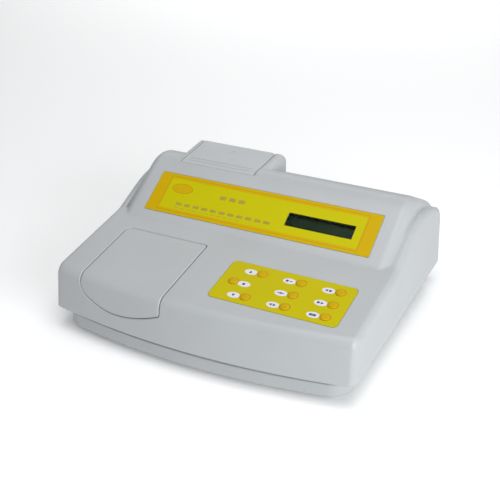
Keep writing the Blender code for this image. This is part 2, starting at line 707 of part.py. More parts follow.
# ---------------------------------------------------------------- sample compartment
def sample_lid(finish):
    lid = wrapped_patch("sample_lid", (LID_LEFT, LID_RIGHT), LID_REAR_D, 0.0, LID_THICK, flap_edge_z, finish,
                        10, HINGE_AT)
    barrel = rod("lid_barrel", "x", (LID_LEFT + 1.0, HINGE_D, HINGE_Z), HINGE_R, 100.6, 12)
    join(lid, barrel)
    cut(lid, rod("lid_bore", "x", (LID_LEFT - 5.0, HINGE_D, HINGE_Z), PIN_R + 0.2, 112.0, 10))
    return lid


def lid_hinge_pin(finish):
    return rod("lid_hinge_pin", "x", (LID_LEFT - 4.6, HINGE_D, HINGE_Z), PIN_R, 111.8, 10, finish)


def sample_bay(finish):
    """Black tray under the lid, with a trough for the hinge barrel and a round hole over the well."""
    x0, x1 = LID_LEFT - 1.0, LID_RIGHT + 1.0
    bay = wrapped_patch("sample_bay", (x0, x1), 104.4, 4.2, 6.2, lambda x: flap_edge_z(x) - 9.0, finish, 8)
    join(bay, DECK.block("bay_step", (x0 + 0.3, x1 - 0.3, 102.9, 106.0), -14.4, -4.6))
    join(bay, DECK.block("bay_trough", (x0 + 0.6, x1 - 0.6, 103.9, 123.4), -14.2, -12.2))
    hole = [(WELL_X + a, WELL_D + b) for a, b in circle(27.0, 24)]
    cut(bay, loft("bay_hole", [[(x, d, z) for x, d in hole] for z in (60.0, 100.0)], None))
    return bay


def lid_gasket(finish):
    """Black foam ring that keeps daylight out of the well."""
    ring = DECK.plate("lid_gasket", [(WELL_X + a, WELL_D + 1.4 + b) for a, b in circle(33.0, 24)],
                      -3.9, -2.9, finish)
    hole = [(WELL_X + a, WELL_D + b) for a, b in circle(27.5, 24)]
    cut(ring, loft("gasket_hole", [[(x, d, z) for x, d in hole] for z in (60.0, 100.0)], None))
    return ring


def sample_block(finish):
    """Black block with the sample well, a finger dish around it and ports for the light path."""
    low, high = 21.0, 95.0
    block = box("sample_block", (WELL_X - 32.0, WELL_X + 32.0), (WELL_D - 32.0, WELL_D + 32.0), (low, high),
                finish)
    cut(block, DECK.block("block_top", (WELL_X - 60, WELL_X + 60, 0.0, 150.0), -6.5, 60.0))
    dish = [(0, 62.0), (25.0, 62.0), (26.5, 64.0), (26.5, 100.0), (0, 100.0)]
    cut(block, turned("finger_dish", "z", (WELL_X, WELL_D, 0.0), dish, 24))
    cut(block, rod("well_bore", "z", (WELL_X, WELL_D, 24.0), WELL_R, 60.0, 24))
    cut(block, rod("light_port", "d", (WELL_X, WELL_D - 50.0, BEAM_Z), 4.0, 100.0, 12))
    cut(block, rod("scatter_port", "x", (WELL_X, WELL_D, BEAM_Z), 4.0, 50.0, 12))
    return block


def sample_vial(finish):
    """Glass vial standing in the well, with a narrower neck for its cap."""
    bottom, shoulder, top = 24.4, 58.0, 70.0
    glass, neck = 1.2, 10.3
    profile = [(0, bottom), (VIAL_R - 1, bottom), (VIAL_R, bottom + 1), (VIAL_R, shoulder - 2),
               (neck, shoulder), (neck, top), (neck - glass, top), (neck - glass, shoulder),
               (VIAL_R - glass, shoulder - 2.4), (VIAL_R - glass, bottom + 2), (0, bottom + 2)]
    return turned("sample_vial", "z", (WELL_X, WELL_D, 0.0), profile, 20, finish, (WELL_X, WELL_D, bottom))


def vial_cap(finish):
    low, high, roof = 58.8, 73.0, 70.4
    inner = 10.7
    profile = [(0, roof), (inner, roof), (inner, low), (VIAL_R, low), (VIAL_R, high - 1),
               (VIAL_R - 1, high), (0, high)]
    return turned("vial_cap", "z", (WELL_X, WELL_D, 0.0), profile, 20, finish, (WELL_X, WELL_D, low))


# ---------------------------------------------------------------- optics
RAIL = (-110.4, -67.4, 28.0, 262.0)     # x from, to, d from, to
RAIL_Z = (16.0, 20.6)
LENS_D = 119.0
LAMP_D = 236.0


def optics_rail(finish):
    x0, x1, d0, d1 = RAIL
    rail = box("optics_rail", (x0, x1), (d0, d1), RAIL_Z, finish)
    for number, d in enumerate((108.0, 160.0, 212.0)):
        cut(rail, box(f"rail_slot_{number}", (WELL_X - 12.0, WELL_X + 12.0), (d + 16, d + 34), (0, 30)))
    return rail


def ring_mount(name, d, thick, width, bore, shoulder, finish):
    """Upright plate on the rail with a bore on the light path."""
    low = RAIL_Z[1] + GAP
    plate = box(name, (WELL_X - width / 2, WELL_X + width / 2), (d, d + thick), (low, BEAM_Z + width / 2),
                finish)
    cut(plate, rod(f"{name}_bore", "d", (WELL_X, d - 1.0, BEAM_Z), bore, thick + 2.0, 20))
    if shoulder:
        cut(plate, rod(f"{name}_seat", "d", (WELL_X, d + thick - shoulder, BEAM_Z), bore + 1.6, 20.0, 20))
    foot = box(f"{name}_foot", (WELL_X - width / 2, WELL_X + width / 2), (d - 5.0, d + thick + 5.0),
               (low, low + 4.0))
    join(plate, foot)
    return plate


def collimating_lens(finish):
    """Plano-convex lens, its flat side against the mount's shoulder."""
    flat = LENS_D + 3.0 + GAP
    arc = [(11.2 * cos(a), flat + 2.4 + 2.2 * sin(a)) for a in (0.0, pi / 6, pi / 3)]
    profile = [(0, flat), (11.2, flat)] + arc + [(0, flat + 4.6)]
    return turned("collimating_lens", "d", (WELL_X, 0.0, BEAM_Z), profile, 20, finish)


def lamp_socket(finish):
    low = RAIL_Z[1] + GAP
    profile = [(0, low), (14.0, low), (14.0, low + 3.0), (9.0, low + 3.0), (9.0, low + 12.0), (4.6, low + 12.0),
               (4.6, low + 6.0), (0, low + 6.0)]
    return turned("lamp_socket", "z", (WELL_X, LAMP_D, 0.0), profile, 16, finish)


def lamp_bulb(finish):
    """Small halogen bulb on its metal base, centred on the light path."""
    low = RAIL_Z[1] + GAP + 6.0 + GAP
    centre = BEAM_Z + 1.0
    dome = [(7.0 * cos(a), centre + 7.0 * sin(a)) for a in (-pi / 4, -pi / 8, 0.0, pi / 8, pi / 4, 3 * pi / 8)]
    profile = [(0, low), (4.2, low), (4.2, low + 8.0)] + dome + [(0, centre + 7.0)]
    return turned("lamp_bulb", "z", (WELL_X, LAMP_D, 0.0), profile, 16, finish)


def detector(name, axis, centre, way, finish):
    """Photodiode can with a flange, facing back along the axis; way is 1 or -1."""
    profile = [(0, 0), (3.4, 0), (3.4, 6.0), (6.0, 6.0), (6.0, 8.0), (3.8, 8.0), (3.8, 12.0), (0, 12.0)]
    if way < 0:
        profile = [(radius, -w) for radius, w in reversed(profile)]
    return turned(name, axis, centre, profile, 14, finish)


# ---------------------------------------------------------------- electronics
BOARD = (0.0, 150.0, 92.0, 214.0)
BOARD_Z = (19.0, 20.6)


def main_board(finish):
    x0, x1, d0, d1 = BOARD
    board = box("main_board", (x0, x1), (d0, d1), BOARD_Z, finish)
    for number, (x, d) in enumerate(((x0 + 6, d0 + 6), (x1 - 6, d0 + 6), (x1 - 6, d1 - 6), (x0 + 6, d1 - 6))):
        join(board, rod(f"board_post_{number}", "z", (x, d, FLOOR_Z + GAP), 3.2,
                        BOARD_Z[0] - FLOOR_Z + 0.2, 8))
    return board


def chip(name, x, d, width, depth, height, finish):
    """Packaged circuit on the main board with a strip of leads on its two long sides."""
    low = BOARD_Z[1] + GAP
    body = box(name, (x, x + width), (d, d + depth), (low + 0.6, low + height), finish)
    join(body, box(f"{name}_leads", (x + 1.0, x + width - 1.0), (d - 1.4, d + depth + 1.4), (low, low + 1.4)))
    return body


def capacitor(number, x, d, finish):
    low = BOARD_Z[1] + GAP
    profile = [(0, low), (6.2, low), (6.2, low + 17.0), (5.4, low + 18.0), (0, low + 18.0)]
    return turned(f"capacitor_{number}", "z", (x, d, 0.0), profile, 14, finish)


CORE = (92.0, 148.0, 230.0, 266.0)      # transformer core: x from, to, d from, to
CORE_Z = (FLOOR_Z + 1.5, 58.0)


def transformer_core(finish):
    """Laminated shell core, open where the winding passes through it."""
    x0, x1, d0, d1 = CORE
    z0, z1 = CORE_Z
    core = box("transformer_core", (x0, x1), (d0 + 8.0, d1 - 8.0), (z0, z1), finish)
    for side, x in enumerate((x0 + 9.0, x1 - 19.0)):
        cut(core, box(f"core_window_{side}", (x, x + 10.0), (d0, d1), (z0 + 9.0, z1 - 9.0)))
    join(core, box("core_foot", (x0 - 6.0, x1 + 6.0), (d0 + 12.0, d1 - 12.0), (FLOOR_Z + GAP, z0 + 1.0)))
    return core


def transformer_coil(finish):
    """Winding on its bobbin round the core's middle limb."""
    x0, x1, d0, d1 = CORE
    z0, z1 = CORE_Z
    low, high = z0 + 9.0 + GAP, z1 - 9.0 - GAP
    left, right = x0 + 9.0 + GAP, x1 - 9.0 - GAP
    coil = box("transformer_coil", (left, right), (d0 + 1.0, d1 - 1.0), (low, high), finish)
    limb = box("coil_hole", (x0 + 19.0 - GAP, x1 - 19.0 + GAP), (d0 + 8.0 - GAP, d1 - 8.0 + GAP),
               (low - 5.0, high + 5.0))
    cut(coil, limb)
    return coil


# ---------------------------------------------------------------- rear panel
SWITCH_X, INLET_X, PORT_X = 48.0, 84.0, 128.0
SWITCH_Z = 56.0
INLET_Z = (39.5, 73.5)                  # flange of the inlet, its fuse drawer at the top
SOCKET_Z = 50.0                         # middle of the inlet's socket
DRAWER_Z = (62.6, 70.6)
PORT_Z = 56.0
FLANGE_D = PANEL_REAR_D + GAP
STUDS = (-12.5, 12.5)                   # jack posts either side of the port


def rear_panel(finish):
    x0, x1, z0, z1 = REAR_OPENING
    panel = box("rear_panel", (x0 - 5.0, x1 + 5.0), (PANEL_REAR_D - 1.5, PANEL_REAR_D), (z0 - 4.0, z1 + 1.5),
                finish)
    cuts = (("switch", SWITCH_X, 9.8, SWITCH_Z - 6.8, SWITCH_Z + 6.8),
            ("inlet", INLET_X, 12.4, INLET_Z[0] + 1.6, INLET_Z[1] - 1.6),
            ("port", PORT_X, 9.6, PORT_Z - 5.2, PORT_Z + 5.2))
    for name, x, half, low, high in cuts:
        cut(panel, box(f"panel_{name}_hole", (x - half, x + half), (PANEL_REAR_D - 5, PANEL_REAR_D + 5),
                       (low, high)))
    for number, x in enumerate(STUDS):
        cut(panel, rod(f"panel_stud_hole_{number}", "d", (PORT_X + x, PANEL_REAR_D - 5.0, PORT_Z), 1.8, 9.0, 8))
    return panel


def power_inlet(finish):
    """Three-pin appliance inlet with a chamber for the fuse drawer over its socket."""
    z0, z1 = INLET_Z
    inlet = box("power_inlet", (INLET_X - 14.2, INLET_X + 14.2), (FLANGE_D, FLANGE_D + 2.4), (z0, z1), finish)
    join(inlet, box("inlet_body", (INLET_X - 12.1, INLET_X + 12.1), (FLANGE_D - 21.0, FLANGE_D + 1.0),
                    (z0 + 1.9, z1 - 1.9)))
    cut(inlet, box("inlet_socket", (INLET_X - 11.0, INLET_X + 11.0), (FLANGE_D - 14.0, FLANGE_D + 5.0),
                   (SOCKET_Z - 7.8, SOCKET_Z + 7.8)))
    cut(inlet, box("fuse_chamber", (INLET_X - 10.6, INLET_X + 10.6), (FLANGE_D - 18.0, FLANGE_D + 5.0),
                   (DRAWER_Z[0] - GAP, DRAWER_Z[1] + GAP)))
    pins = ((-7.0, SOCKET_Z - 4.0), (0.0, SOCKET_Z + 0.6), (7.0, SOCKET_Z - 4.0))
    for number, (x, z) in enumerate(pins):
        join(inlet, box(f"inlet_pin_{number}", (INLET_X + x - 1.0, INLET_X + x + 1.0),
                        (FLANGE_D - 26.0, FLANGE_D - 1.5), (z, z + 4.0)))
    return inlet


def fuse_drawer(finish):
    drawer = box("fuse_drawer", (INLET_X - 10.3, INLET_X + 10.3), (FLANGE_D - 16.0, FLANGE_D + 3.0), DRAWER_Z,
                 finish)
    cut(drawer, box("fuse_bay", (INLET_X - 8.6, INLET_X + 8.6), (FLANGE_D - 14.0, FLANGE_D - 2.0),
                    (DRAWER_Z[0] + 1.4, DRAWER_Z[1] + 4.0)))
    cut(drawer, box("drawer_notch", (INLET_X - 4.0, INLET_X + 4.0), (FLANGE_D + 1.4, FLANGE_D + 4.0),
                    (DRAWER_Z[1] - 1.8, DRAWER_Z[1] + 1.0)))
    return drawer


def fuse(finish):
    centre_z = DRAWER_Z[0] + 1.4 + GAP + 2.6
    return rod("fuse", "x", (INLET_X - 8.0, FLANGE_D - 8.0, centre_z), 2.5, 16.0, 10, finish)


ROCKER_AT = (SWITCH_X, FLANGE_D - 1.2, SWITCH_Z)
ROCKER_REST = radians(9.0)
ROCKER_R = 9.4


def switch_frame(finish):
    frame = box("switch_frame", (SWITCH_X - 11.0, SWITCH_X + 11.0), (FLANGE_D, FLANGE_D + 1.8),
                (SWITCH_Z - 8.2, SWITCH_Z + 8.2), finish)
    join(frame, box("switch_body", (SWITCH_X - 9.5, SWITCH_X + 9.5), (FLANGE_D - 14.0, FLANGE_D + 1.0),
                    (SWITCH_Z - 6.5, SWITCH_Z + 6.5)))
    cut(frame, box("switch_bay", (SWITCH_X - 8.4, SWITCH_X + 8.4), (FLANGE_D - 8.0, FLANGE_D + 5.0),
                   (SWITCH_Z - 5.0, SWITCH_Z + 5.0)))
    return frame


def switch_rocker(finish):
    """Rocker with a faintly hollow face; it turns about z and rests with its left end pressed."""
    ox, od, oz = ROCKER_AT
    reach = 7.2
    face = [(reach * k / 4, 3.0 + 1.1 * (k / 4) ** 2) for k in range(-4, 5)]
    outline = [(-reach, 0.4), (-2.4, -4.4), (2.4, -4.4), (reach, 0.4)] + face[::-1]
    turn = ROCKER_REST
    spun = [(ox + x * cos(turn) - d * sin(turn), od + x * sin(turn) + d * cos(turn)) for x, d in outline]
    rings = [[(x, d, z) for x, d in spun] for z in (oz - 4.6, oz + 4.6)]
    return loft("switch_rocker", rings, finish, ROCKER_AT)


def d_outline(half, height, lean):
    """The D-shaped outline of a nine-way port, wider at the top."""
    return [(-half + lean, -height), (half - lean, -height), (half, height), (-half, height)]


def serial_port(finish):
    port = box("serial_port", (PORT_X - 15.4, PORT_X + 15.4), (FLANGE_D, FLANGE_D + 0.9),
               (PORT_Z - 6.2, PORT_Z + 6.2), finish)
    outline = d_outline(8.6, 4.1, 1.0)
    nose = [[(PORT_X + x, d, PORT_Z + z) for x, z in outline] for d in (FLANGE_D + 3.2, FLANGE_D - 8.0)]
    join(port, loft("port_nose", nose, None))
    for number, x in enumerate(STUDS):
        cut(port, rod(f"port_hole_{number}", "d", (PORT_X + x, FLANGE_D - 2.0, PORT_Z), 1.7, 6.0, 8))
    return port


def port_stud(number, x, finish):
    """Hexagonal jack post with its screw through the port's flange."""
    profile = [(0, -1.3), (1.35, -1.3), (1.35, 0.9 + GAP), (2.5, 0.9 + GAP), (2.5, 3.2), (0, 3.2)]
    return turned(f"port_stud_{number}", "d", (PORT_X + x, FLANGE_D, PORT_Z), profile, 6, finish)


def light_source_cover(finish):
    """Sliding cover of the lamp housing, with finger ribs near its front edge."""
    x0, x1, d0, d1 = COVER
    v0 = d0 - BOSS_TOP_D
    area = (x0, x1, v0, d1 - BOSS_TOP_D)
    origin = BOSS_TOP.at((x0 + x1) / 2, v0, 0.0)
    cover = BOSS_TOP.block("light_source_cover", area, -2.6, 0.0, finish, origin)
    for number in range(3):
        v = v0 + 4.0 + 4.0 * number
        cut(cover, BOSS_TOP.block(f"cover_rib_{number}", (x0 + 8.0, x1 - 8.0, v, v + 1.2), -0.6, 1.0))
    return cover


# ---------------------------------------------------------------- assembly
def clear_scene():
    for piece in list(bpy.data.objects):
        bpy.data.objects.remove(piece, do_unlink=True)


def main():
    clear_scene()
    housing = material("housing_plastic", (0.62, 0.65, 0.68), 0.45)
    dark = material("black_plastic", (0.03, 0.03, 0.032), 0.5)
    yellow = material("print_film", (0.62, 0.55, 0.01), 0.35)
    amber = material("key_film", (0.70, 0.33, 0.01), 0.35)
    rubber = material("rubber", (0.025, 0.025, 0.025), 0.8)
    foam = material("foam", (0.02, 0.02, 0.02), 0.95)
    steel = material("steel", (0.55, 0.56, 0.57), 0.3, 1.0)
    alloy = material("aluminium", (0.75, 0.76, 0.77), 0.35, 1.0)
    anodised = material("black_anodised", (0.02, 0.02, 0.022), 0.4, 0.6)
    board = material("board_laminate", (0.02, 0.16, 0.06), 0.4)
    window = material("clear_acrylic", (0.9, 0.92, 0.92), 0.05, 0.0, 0.9)
    lcd = material("lcd_glass", (0.01, 0.03, 0.012), 0.12)
    glass = material("clear_glass", (0.92, 0.96, 0.95), 0.03, 0.0, 0.95)
    copper = material("winding_tape", (0.55, 0.36, 0.05), 0.5)

    upper_housing(housing)
    lower_housing(housing)
    display_overlay(yellow)
    lcd_window(window)
    lcd_frame(steel)
    lcd_glass(lcd)
    lcd_board(board)
    keypad_overlay(yellow)
    for number, (x, v) in enumerate(key_places(), 1):
        key(number, x, v, amber)
    keypad_board(board)
    sample_lid(housing)
    lid_hinge_pin(steel)
    lid_gasket(foam)
    sample_bay(dark)
    sample_block(anodised)
    sample_vial(glass)
    vial_cap(dark)
    optics_rail(alloy)
    ring_mount("lens_mount", LENS_D, 8.0, 34.0, 10.0, 5.0, anodised)
    collimating_lens(glass)
    ring_mount("slit_plate", 178.0, 2.0, 30.0, 3.0, 0.0, anodised)
    lamp_socket(dark)
    lamp_bulb(glass)
    detector("scatter_detector", "x", (WELL_X + 32.0 - 6.0 + GAP, WELL_D, BEAM_Z), 1, alloy)
    detector("transmission_detector", "d", (WELL_X, WELL_D - 32.0 + 6.0 - GAP, BEAM_Z), -1, alloy)
    main_board(board)
    chip("processor_chip", 62.0, 144.0, 28.0, 14.0, 4.0, dark)
    chip("memory_chip", 104.0, 122.0, 20.0, 8.0, 3.6, dark)
    chip("amplifier_chip", 24.0, 114.0, 12.0, 8.0, 3.6, dark)
    for number, (x, d) in enumerate(((118.0, 196.0), (134.0, 196.0)), 1):
        capacitor(number, x, d, dark)
    transformer_core(steel)
    transformer_coil(copper)
    rear_panel(alloy)
    power_inlet(dark)
    fuse_drawer(dark)
    fuse(glass)
    switch_frame(dark)
    switch_rocker(dark)
    serial_port(steel)
    for number, x in enumerate(STUDS, 1):
        port_stud(number, x, steel)
    light_source_cover(housing)
    for number, (x, d) in enumerate(FEET, 1):
        foot(number, x, d, rubber)
    for number, (x, d) in enumerate(SCREWS, 1):
        housing_screw(number, x, d, steel)


main()
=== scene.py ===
"""Looks of a bench-top digital water tester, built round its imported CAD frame.

Shapes are worked out in millimetres as (x, d, z): x from left to right, d from the front edge of the
housing to its back and z up from the table.  new_piece() turns them into metres in the frame's axes.
"""
import json
from math import asin, atan2, cos, hypot, pi, radians, sin, sqrt, tan

import bmesh
import bpy
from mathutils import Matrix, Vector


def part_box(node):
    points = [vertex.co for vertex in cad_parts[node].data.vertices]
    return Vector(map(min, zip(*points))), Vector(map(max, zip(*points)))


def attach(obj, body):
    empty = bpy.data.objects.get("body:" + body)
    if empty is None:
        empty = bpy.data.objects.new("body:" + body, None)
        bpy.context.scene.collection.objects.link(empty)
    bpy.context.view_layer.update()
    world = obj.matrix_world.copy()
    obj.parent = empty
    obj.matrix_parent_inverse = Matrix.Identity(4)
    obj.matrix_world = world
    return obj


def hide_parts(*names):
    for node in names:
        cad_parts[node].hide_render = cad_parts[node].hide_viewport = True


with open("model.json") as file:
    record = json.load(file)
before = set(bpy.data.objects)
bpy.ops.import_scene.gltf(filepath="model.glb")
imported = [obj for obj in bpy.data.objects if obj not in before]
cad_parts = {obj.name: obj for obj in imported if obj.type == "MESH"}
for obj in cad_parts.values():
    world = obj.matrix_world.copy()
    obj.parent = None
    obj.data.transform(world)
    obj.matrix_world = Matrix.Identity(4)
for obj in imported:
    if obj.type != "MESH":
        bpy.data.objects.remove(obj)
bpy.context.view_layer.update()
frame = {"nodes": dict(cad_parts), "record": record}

# ---------------------------------------------------------------- dimensions
MM = 0.001
HOUSING_LOW, HOUSING_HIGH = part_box("upper_housing")
WIDTH = (HOUSING_HIGH.x - HOUSING_LOW.x) / MM
DEPTH = (HOUSING_HIGH.y - HOUSING_LOW.y) / MM


def extent(node):
    """A CAD node's (low, high) pairs in x, d and z, in millimetres."""
    low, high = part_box(node)
    return ((low.x / MM, high.x / MM), (low.y / MM + DEPTH / 2, high.y / MM + DEPTH / 2),
            (low.z / MM, high.z / MM))


WALL = 3.0
RIM_HEIGHT = 2.6                        # the base's rim stands this far up inside the upper housing
SPLIT_Z = extent("lower_housing")[2][1] - RIM_HEIGHT
FOOT_HEIGHT = extent("lower_housing")[2][0]
FLOOR_Z = FOOT_HEIGHT + WALL
DRAFT = tan(radians(2.5))               # mould draft of the side and rear walls
LEAN_MIDDLE = tan(radians(12.3))        # how the front wall leans back, at its middle and at its ends
LEAN_ENDS = tan(radians(5.6))
BOW = 18.7                              # how far the front wall curves back at its ends
CORNER_R = 8.0
FRONT_EDGE_R = 12.0
REAR_EDGE_R = 14.0
SIDE_EDGE_R = 8.0

DECK_Z = 74.75                          # keypad deck, carried forward to d = 0
DECK_TILT = radians(7.47)
JUNCTION_D = 141.6                      # where the deck meets the display slope
DISPLAY_TILT = radians(30.2)
CREST_D = 229.7
REAR_TILT = radians(27.0)
JUNCTION_R = 25.0
CREST_R = 40.0
SHOULDER_START_D = 150.6                # the shoulders leave the deck behind the display slope's foot
SHOULDER_TILT = radians(22.8)
SHOULDER_D = 232.2
SHOULDER_REAR_TILT = radians(21.7)
SHOULDER_R = 117.0
SLOPE_TAIL = 120.0                      # how far the rear slopes are carried on behind the crest
HUMP_HALF = 166.0                       # half width of the raised middle
HUMP_EDGE_R = 12.5
HUMP_SIDE_STEP = 1.5                    # draft of the hump's end faces
HUMP_SIDE_SLOPE = 8.0
CREASE_R = 1.0                          # softens the line where the hump grows out of the shoulder

BASE_FRONT, BASE_SIDE, BASE_REAR = 5.1, 10.0, 8.0       # how far the base stands inside the housing
BASE_BOW = 20.8
BASE_CORNER_R = 20.0

LID_X = extent("sample_lid")[0]
LID_REAR_D = extent("sample_lid")[1][1]
LID_THICK = 2.6
LID_GAP = 1.4
LID_SPREAD = 0.7                        # the shown lid fills part of the gap that the joint needs
LID_EDGE_R = 1.5
LID_LOW_X = -93.0                       # where the front flap hangs lowest
LID_LOW_Z = extent("sample_lid")[2][0]
LID_REAR_CORNERS = (7.0, 2.5)           # left and right
LID_FLAP_CORNERS = (7.0, 0.8)
HINGE_R = 2.9
PIN_R = 1.25

PANEL = (-140.1, 140.1, 12.3, 68.5)     # x from, to, up the display slope from, to
LCD = (34.0, 114.6, 29.4, 47.7)
KEYPAD = (5.0, 149.2, 36.4, 103.8)      # x from, to, up the deck from, to
KEYPAD_CORNER_R = 6.0
OVERLAY_SINK = 0.7
OVERLAY_TOP = 0.2
KEY_COLUMNS = (44.2, 89.0, 133.3)
KEY_ROWS = (91.0, 69.0, 48.3)
FIRST_KEY_SHIFT = -23.7                 # the middle key of the left column is left of its tag
KEY_R = 5.3

BOSS = (-136.0, -14.5, 212.4, 281.5)    # light-source housing: x from, to, d from, to
BOSS_EDGE_R = 8.0
BOSS_TOP_D, BOSS_TOP_Z = 217.0, 137.0
BOSS_TOP_TILT = radians(4.0)
COVER = (-127.5, -29.3, 217.6, 280.9)
COVER_CANT, COVER_CANT_DEPTH = 1.8, 1.2  # canted edges beside the cover

EDGE_R = 0.6                            # small rounding of moulded edges
SMOOTH_ANGLE = radians(35)


# ---------------------------------------------------------------- materials
def material(name, colour, roughness, metallic=0.0, mottle=0.05, patch=9.0, grain=1500.0, relief=0.00003,
             rough_swing=0.06, specular=0.5):
    """Principled finish whose colour and roughness drift in patches and whose surface has a fine grain."""
    made = bpy.data.materials.new(name)
    made.use_nodes = True
    nodes, links = made.node_tree.nodes, made.node_tree.links
    shader = nodes["Principled BSDF"]
    shader.inputs["Metallic"].default_value = metallic
    shader.inputs["Specular IOR Level"].default_value = specular
    place = nodes.new("ShaderNodeTexCoord")
    drift = nodes.new("ShaderNodeTexNoise")
    drift.inputs["Scale"].default_value = patch
    drift.inputs["Detail"].default_value = 4.0
    links.new(place.outputs["Object"], drift.inputs["Vector"])
    tint = nodes.new("ShaderNodeValToRGB")
    tint.color_ramp.elements[0].position = 0.3
    tint.color_ramp.elements[1].position = 0.7
    tint.color_ramp.elements[0].color = (*[c * (1 - mottle) for c in colour], 1.0)
    tint.color_ramp.elements[1].color = (*[min(1.0, c * (1 + mottle)) for c in colour], 1.0)
    links.new(drift.outputs["Fac"], tint.inputs["Fac"])
    links.new(tint.outputs["Color"], shader.inputs["Base Color"])
    texture = nodes.new("ShaderNodeTexNoise")
    texture.inputs["Scale"].default_value = grain
    texture.inputs["Detail"].default_value = 2.0
    links.new(place.outputs["Object"], texture.inputs["Vector"])
    gloss = nodes.new("ShaderNodeMapRange")
    gloss.inputs["To Min"].default_value = roughness - rough_swing
    gloss.inputs["To Max"].default_value = roughness + rough_swing
    links.new(texture.outputs["Fac"], gloss.inputs["Value"])
    links.new(gloss.outputs["Result"], shader.inputs["Roughness"])
    bump = nodes.new("ShaderNodeBump")
    bump.inputs["Distance"].default_value = relief
    links.new(texture.outputs["Fac"], bump.inputs["Height"])
    links.new(bump.outputs["Normal"], shader.inputs["Normal"])
    return made


def clear(name, colour, roughness, ior):
    """Clear finish for windows and glass, with a faint drift in its roughness."""
    made = material(name, colour, roughness, mottle=0.02, grain=300.0, relief=0.000004, rough_swing=0.02)
    shader = made.node_tree.nodes["Principled BSDF"]
    shader.inputs["Transmission Weight"].default_value = 1.0
    shader.inputs["IOR"].default_value = ior
    return made


def print_finish(name, colour, mottle=0.03, patch=9.0, roughness=0.4):
    """Ink on matt film, which hardly mirrors the room."""
    return material(name, colour, roughness, mottle=mottle, patch=patch, grain=2600.0, relief=0.00001,
                    specular=0.06)


HOUSING = material("housing_plastic", (0.415, 0.430, 0.438), 0.42, mottle=0.025, patch=14.0)
FILM = print_finish("print_film", (0.50, 0.455, 0.002))
KEYPAD_FILM = print_finish("keypad_film", (0.485, 0.42, 0.002))
GOLD = print_finish("print_gold", (0.54, 0.35, 0.002))
GOLD_DEEP = print_finish("print_gold_deep", (0.47, 0.25, 0.002))
INK_BROWN = print_finish("print_ink_brown", (0.36, 0.29, 0.04), 0.08, 200.0)
INK_BLUE = print_finish("print_ink_blue", (0.07, 0.08, 0.20), 0.08, 200.0)
TAG = print_finish("print_white", (0.66, 0.64, 0.70), 0.02, 60.0)
KEY_FILM = print_finish("key_film", (0.52, 0.33, 0.002), 0.04, 90.0, 0.34)
BLACK = material("black_plastic", (0.025, 0.025, 0.027), 0.46, mottle=0.12)
RUBBER = material("rubber", (0.022, 0.022, 0.022), 0.78, mottle=0.18, patch=60.0, grain=2200.0,
                  relief=0.00008)
FOAM = material("foam", (0.018, 0.018, 0.018), 0.93, mottle=0.2, patch=300.0, grain=900.0, relief=0.0004)
STEEL = material("steel", (0.56, 0.57, 0.58), 0.3, 1.0, mottle=0.06, patch=120.0, grain=2400.0)
ALLOY = material("aluminium", (0.74, 0.75, 0.76), 0.36, 1.0, mottle=0.05, patch=50.0, grain=3200.0)
ANODISED = material("black_anodised", (0.022, 0.022, 0.024), 0.42, 0.5, mottle=0.15, patch=60.0,
                    grain=3000.0)
LAMINATE = material("board_laminate", (0.02, 0.15, 0.06), 0.4, mottle=0.15, patch=80.0, grain=700.0)
WINDING = material("winding_tape", (0.52, 0.33, 0.05), 0.5, mottle=0.12, patch=150.0, grain=900.0)
LCD_DARK = material("lcd_glass", (0.012, 0.022, 0.010), 0.2, mottle=0.12, patch=30.0, relief=0.000004,
                    specular=0.15)
LCD_CELL = material("lcd_cell", (0.018, 0.036, 0.014), 0.24, mottle=0.1, patch=90.0, relief=0.000004,
                    specular=0.15)
ACRYLIC = clear("clear_acrylic", (0.80, 0.86, 0.84), 0.08, 1.12)
GLASS = clear("clear_glass", (0.93, 0.97, 0.96), 0.04, 1.48)

SLOT_FINISH = {
    "housing_plastic": HOUSING, "print_film": FILM, "key_film": KEY_FILM, "black_plastic": BLACK,
    "rubber": RUBBER, "foam": FOAM, "steel": STEEL, "aluminium": ALLOY, "black_anodised": ANODISED,
    "board_laminate": LAMINATE, "clear_acrylic": ACRYLIC, "lcd_glass": LCD_DARK, "clear_glass": GLASS,
    "winding_tape": WINDING,
}


# ---------------------------------------------------------------- mesh helpers
def placed(name, data):
    """Object in the scene that holds a mesh, light or camera, or nothing."""
    made = bpy.data.objects.new(name, data)
    bpy.context.scene.collection.objects.link(made)
    return made


def new_piece(name, points, faces, finish=None):
    """Object from points (x, d, z) in millimetres, kept at the world's origin."""
    mesh = bpy.data.meshes.new(name)
    mesh.from_pydata([(x * MM, (d - DEPTH / 2) * MM, z * MM) for x, d, z in points], [], faces)
    mesh.validate()
    if finish is not None:
        mesh.materials.append(finish)
    return placed(name, mesh)


def drop(piece):
    """Remove an object and its mesh."""
    mesh = piece.data
    bpy.data.objects.remove(piece)
    bpy.data.meshes.remove(mesh)


def merged(name, pieces, finish=None):
    """One object out of several, each of which is removed."""
    made = bmesh.new()
    for piece in pieces:
        made.from_mesh(piece.data)
        drop(piece)
    mesh = bpy.data.meshes.new(name)
    made.to_mesh(mesh)
    made.free()
    if finish is not None:
        mesh.materials.append(finish)
    return placed(name, mesh)


def carve(target, tools, operation="DIFFERENCE"):
    """Applies one exact Boolean with tools that stand clear of one another."""
    tool = merged(target.name + "_tool", tools)
    step = target.modifiers.new("carve", "BOOLEAN")
    step.operation = operation
    step.solver = "EXACT"
    step.object = tool
    bpy.context.view_layer.update()
    shaped = bpy.data.meshes.new_from_object(target.evaluated_get(bpy.context.evaluated_depsgraph_get()))
    target.modifiers.clear()
    before = target.data
    target.data = shaped
    bpy.data.meshes.remove(before)
    shaped.name = target.name
    drop(tool)


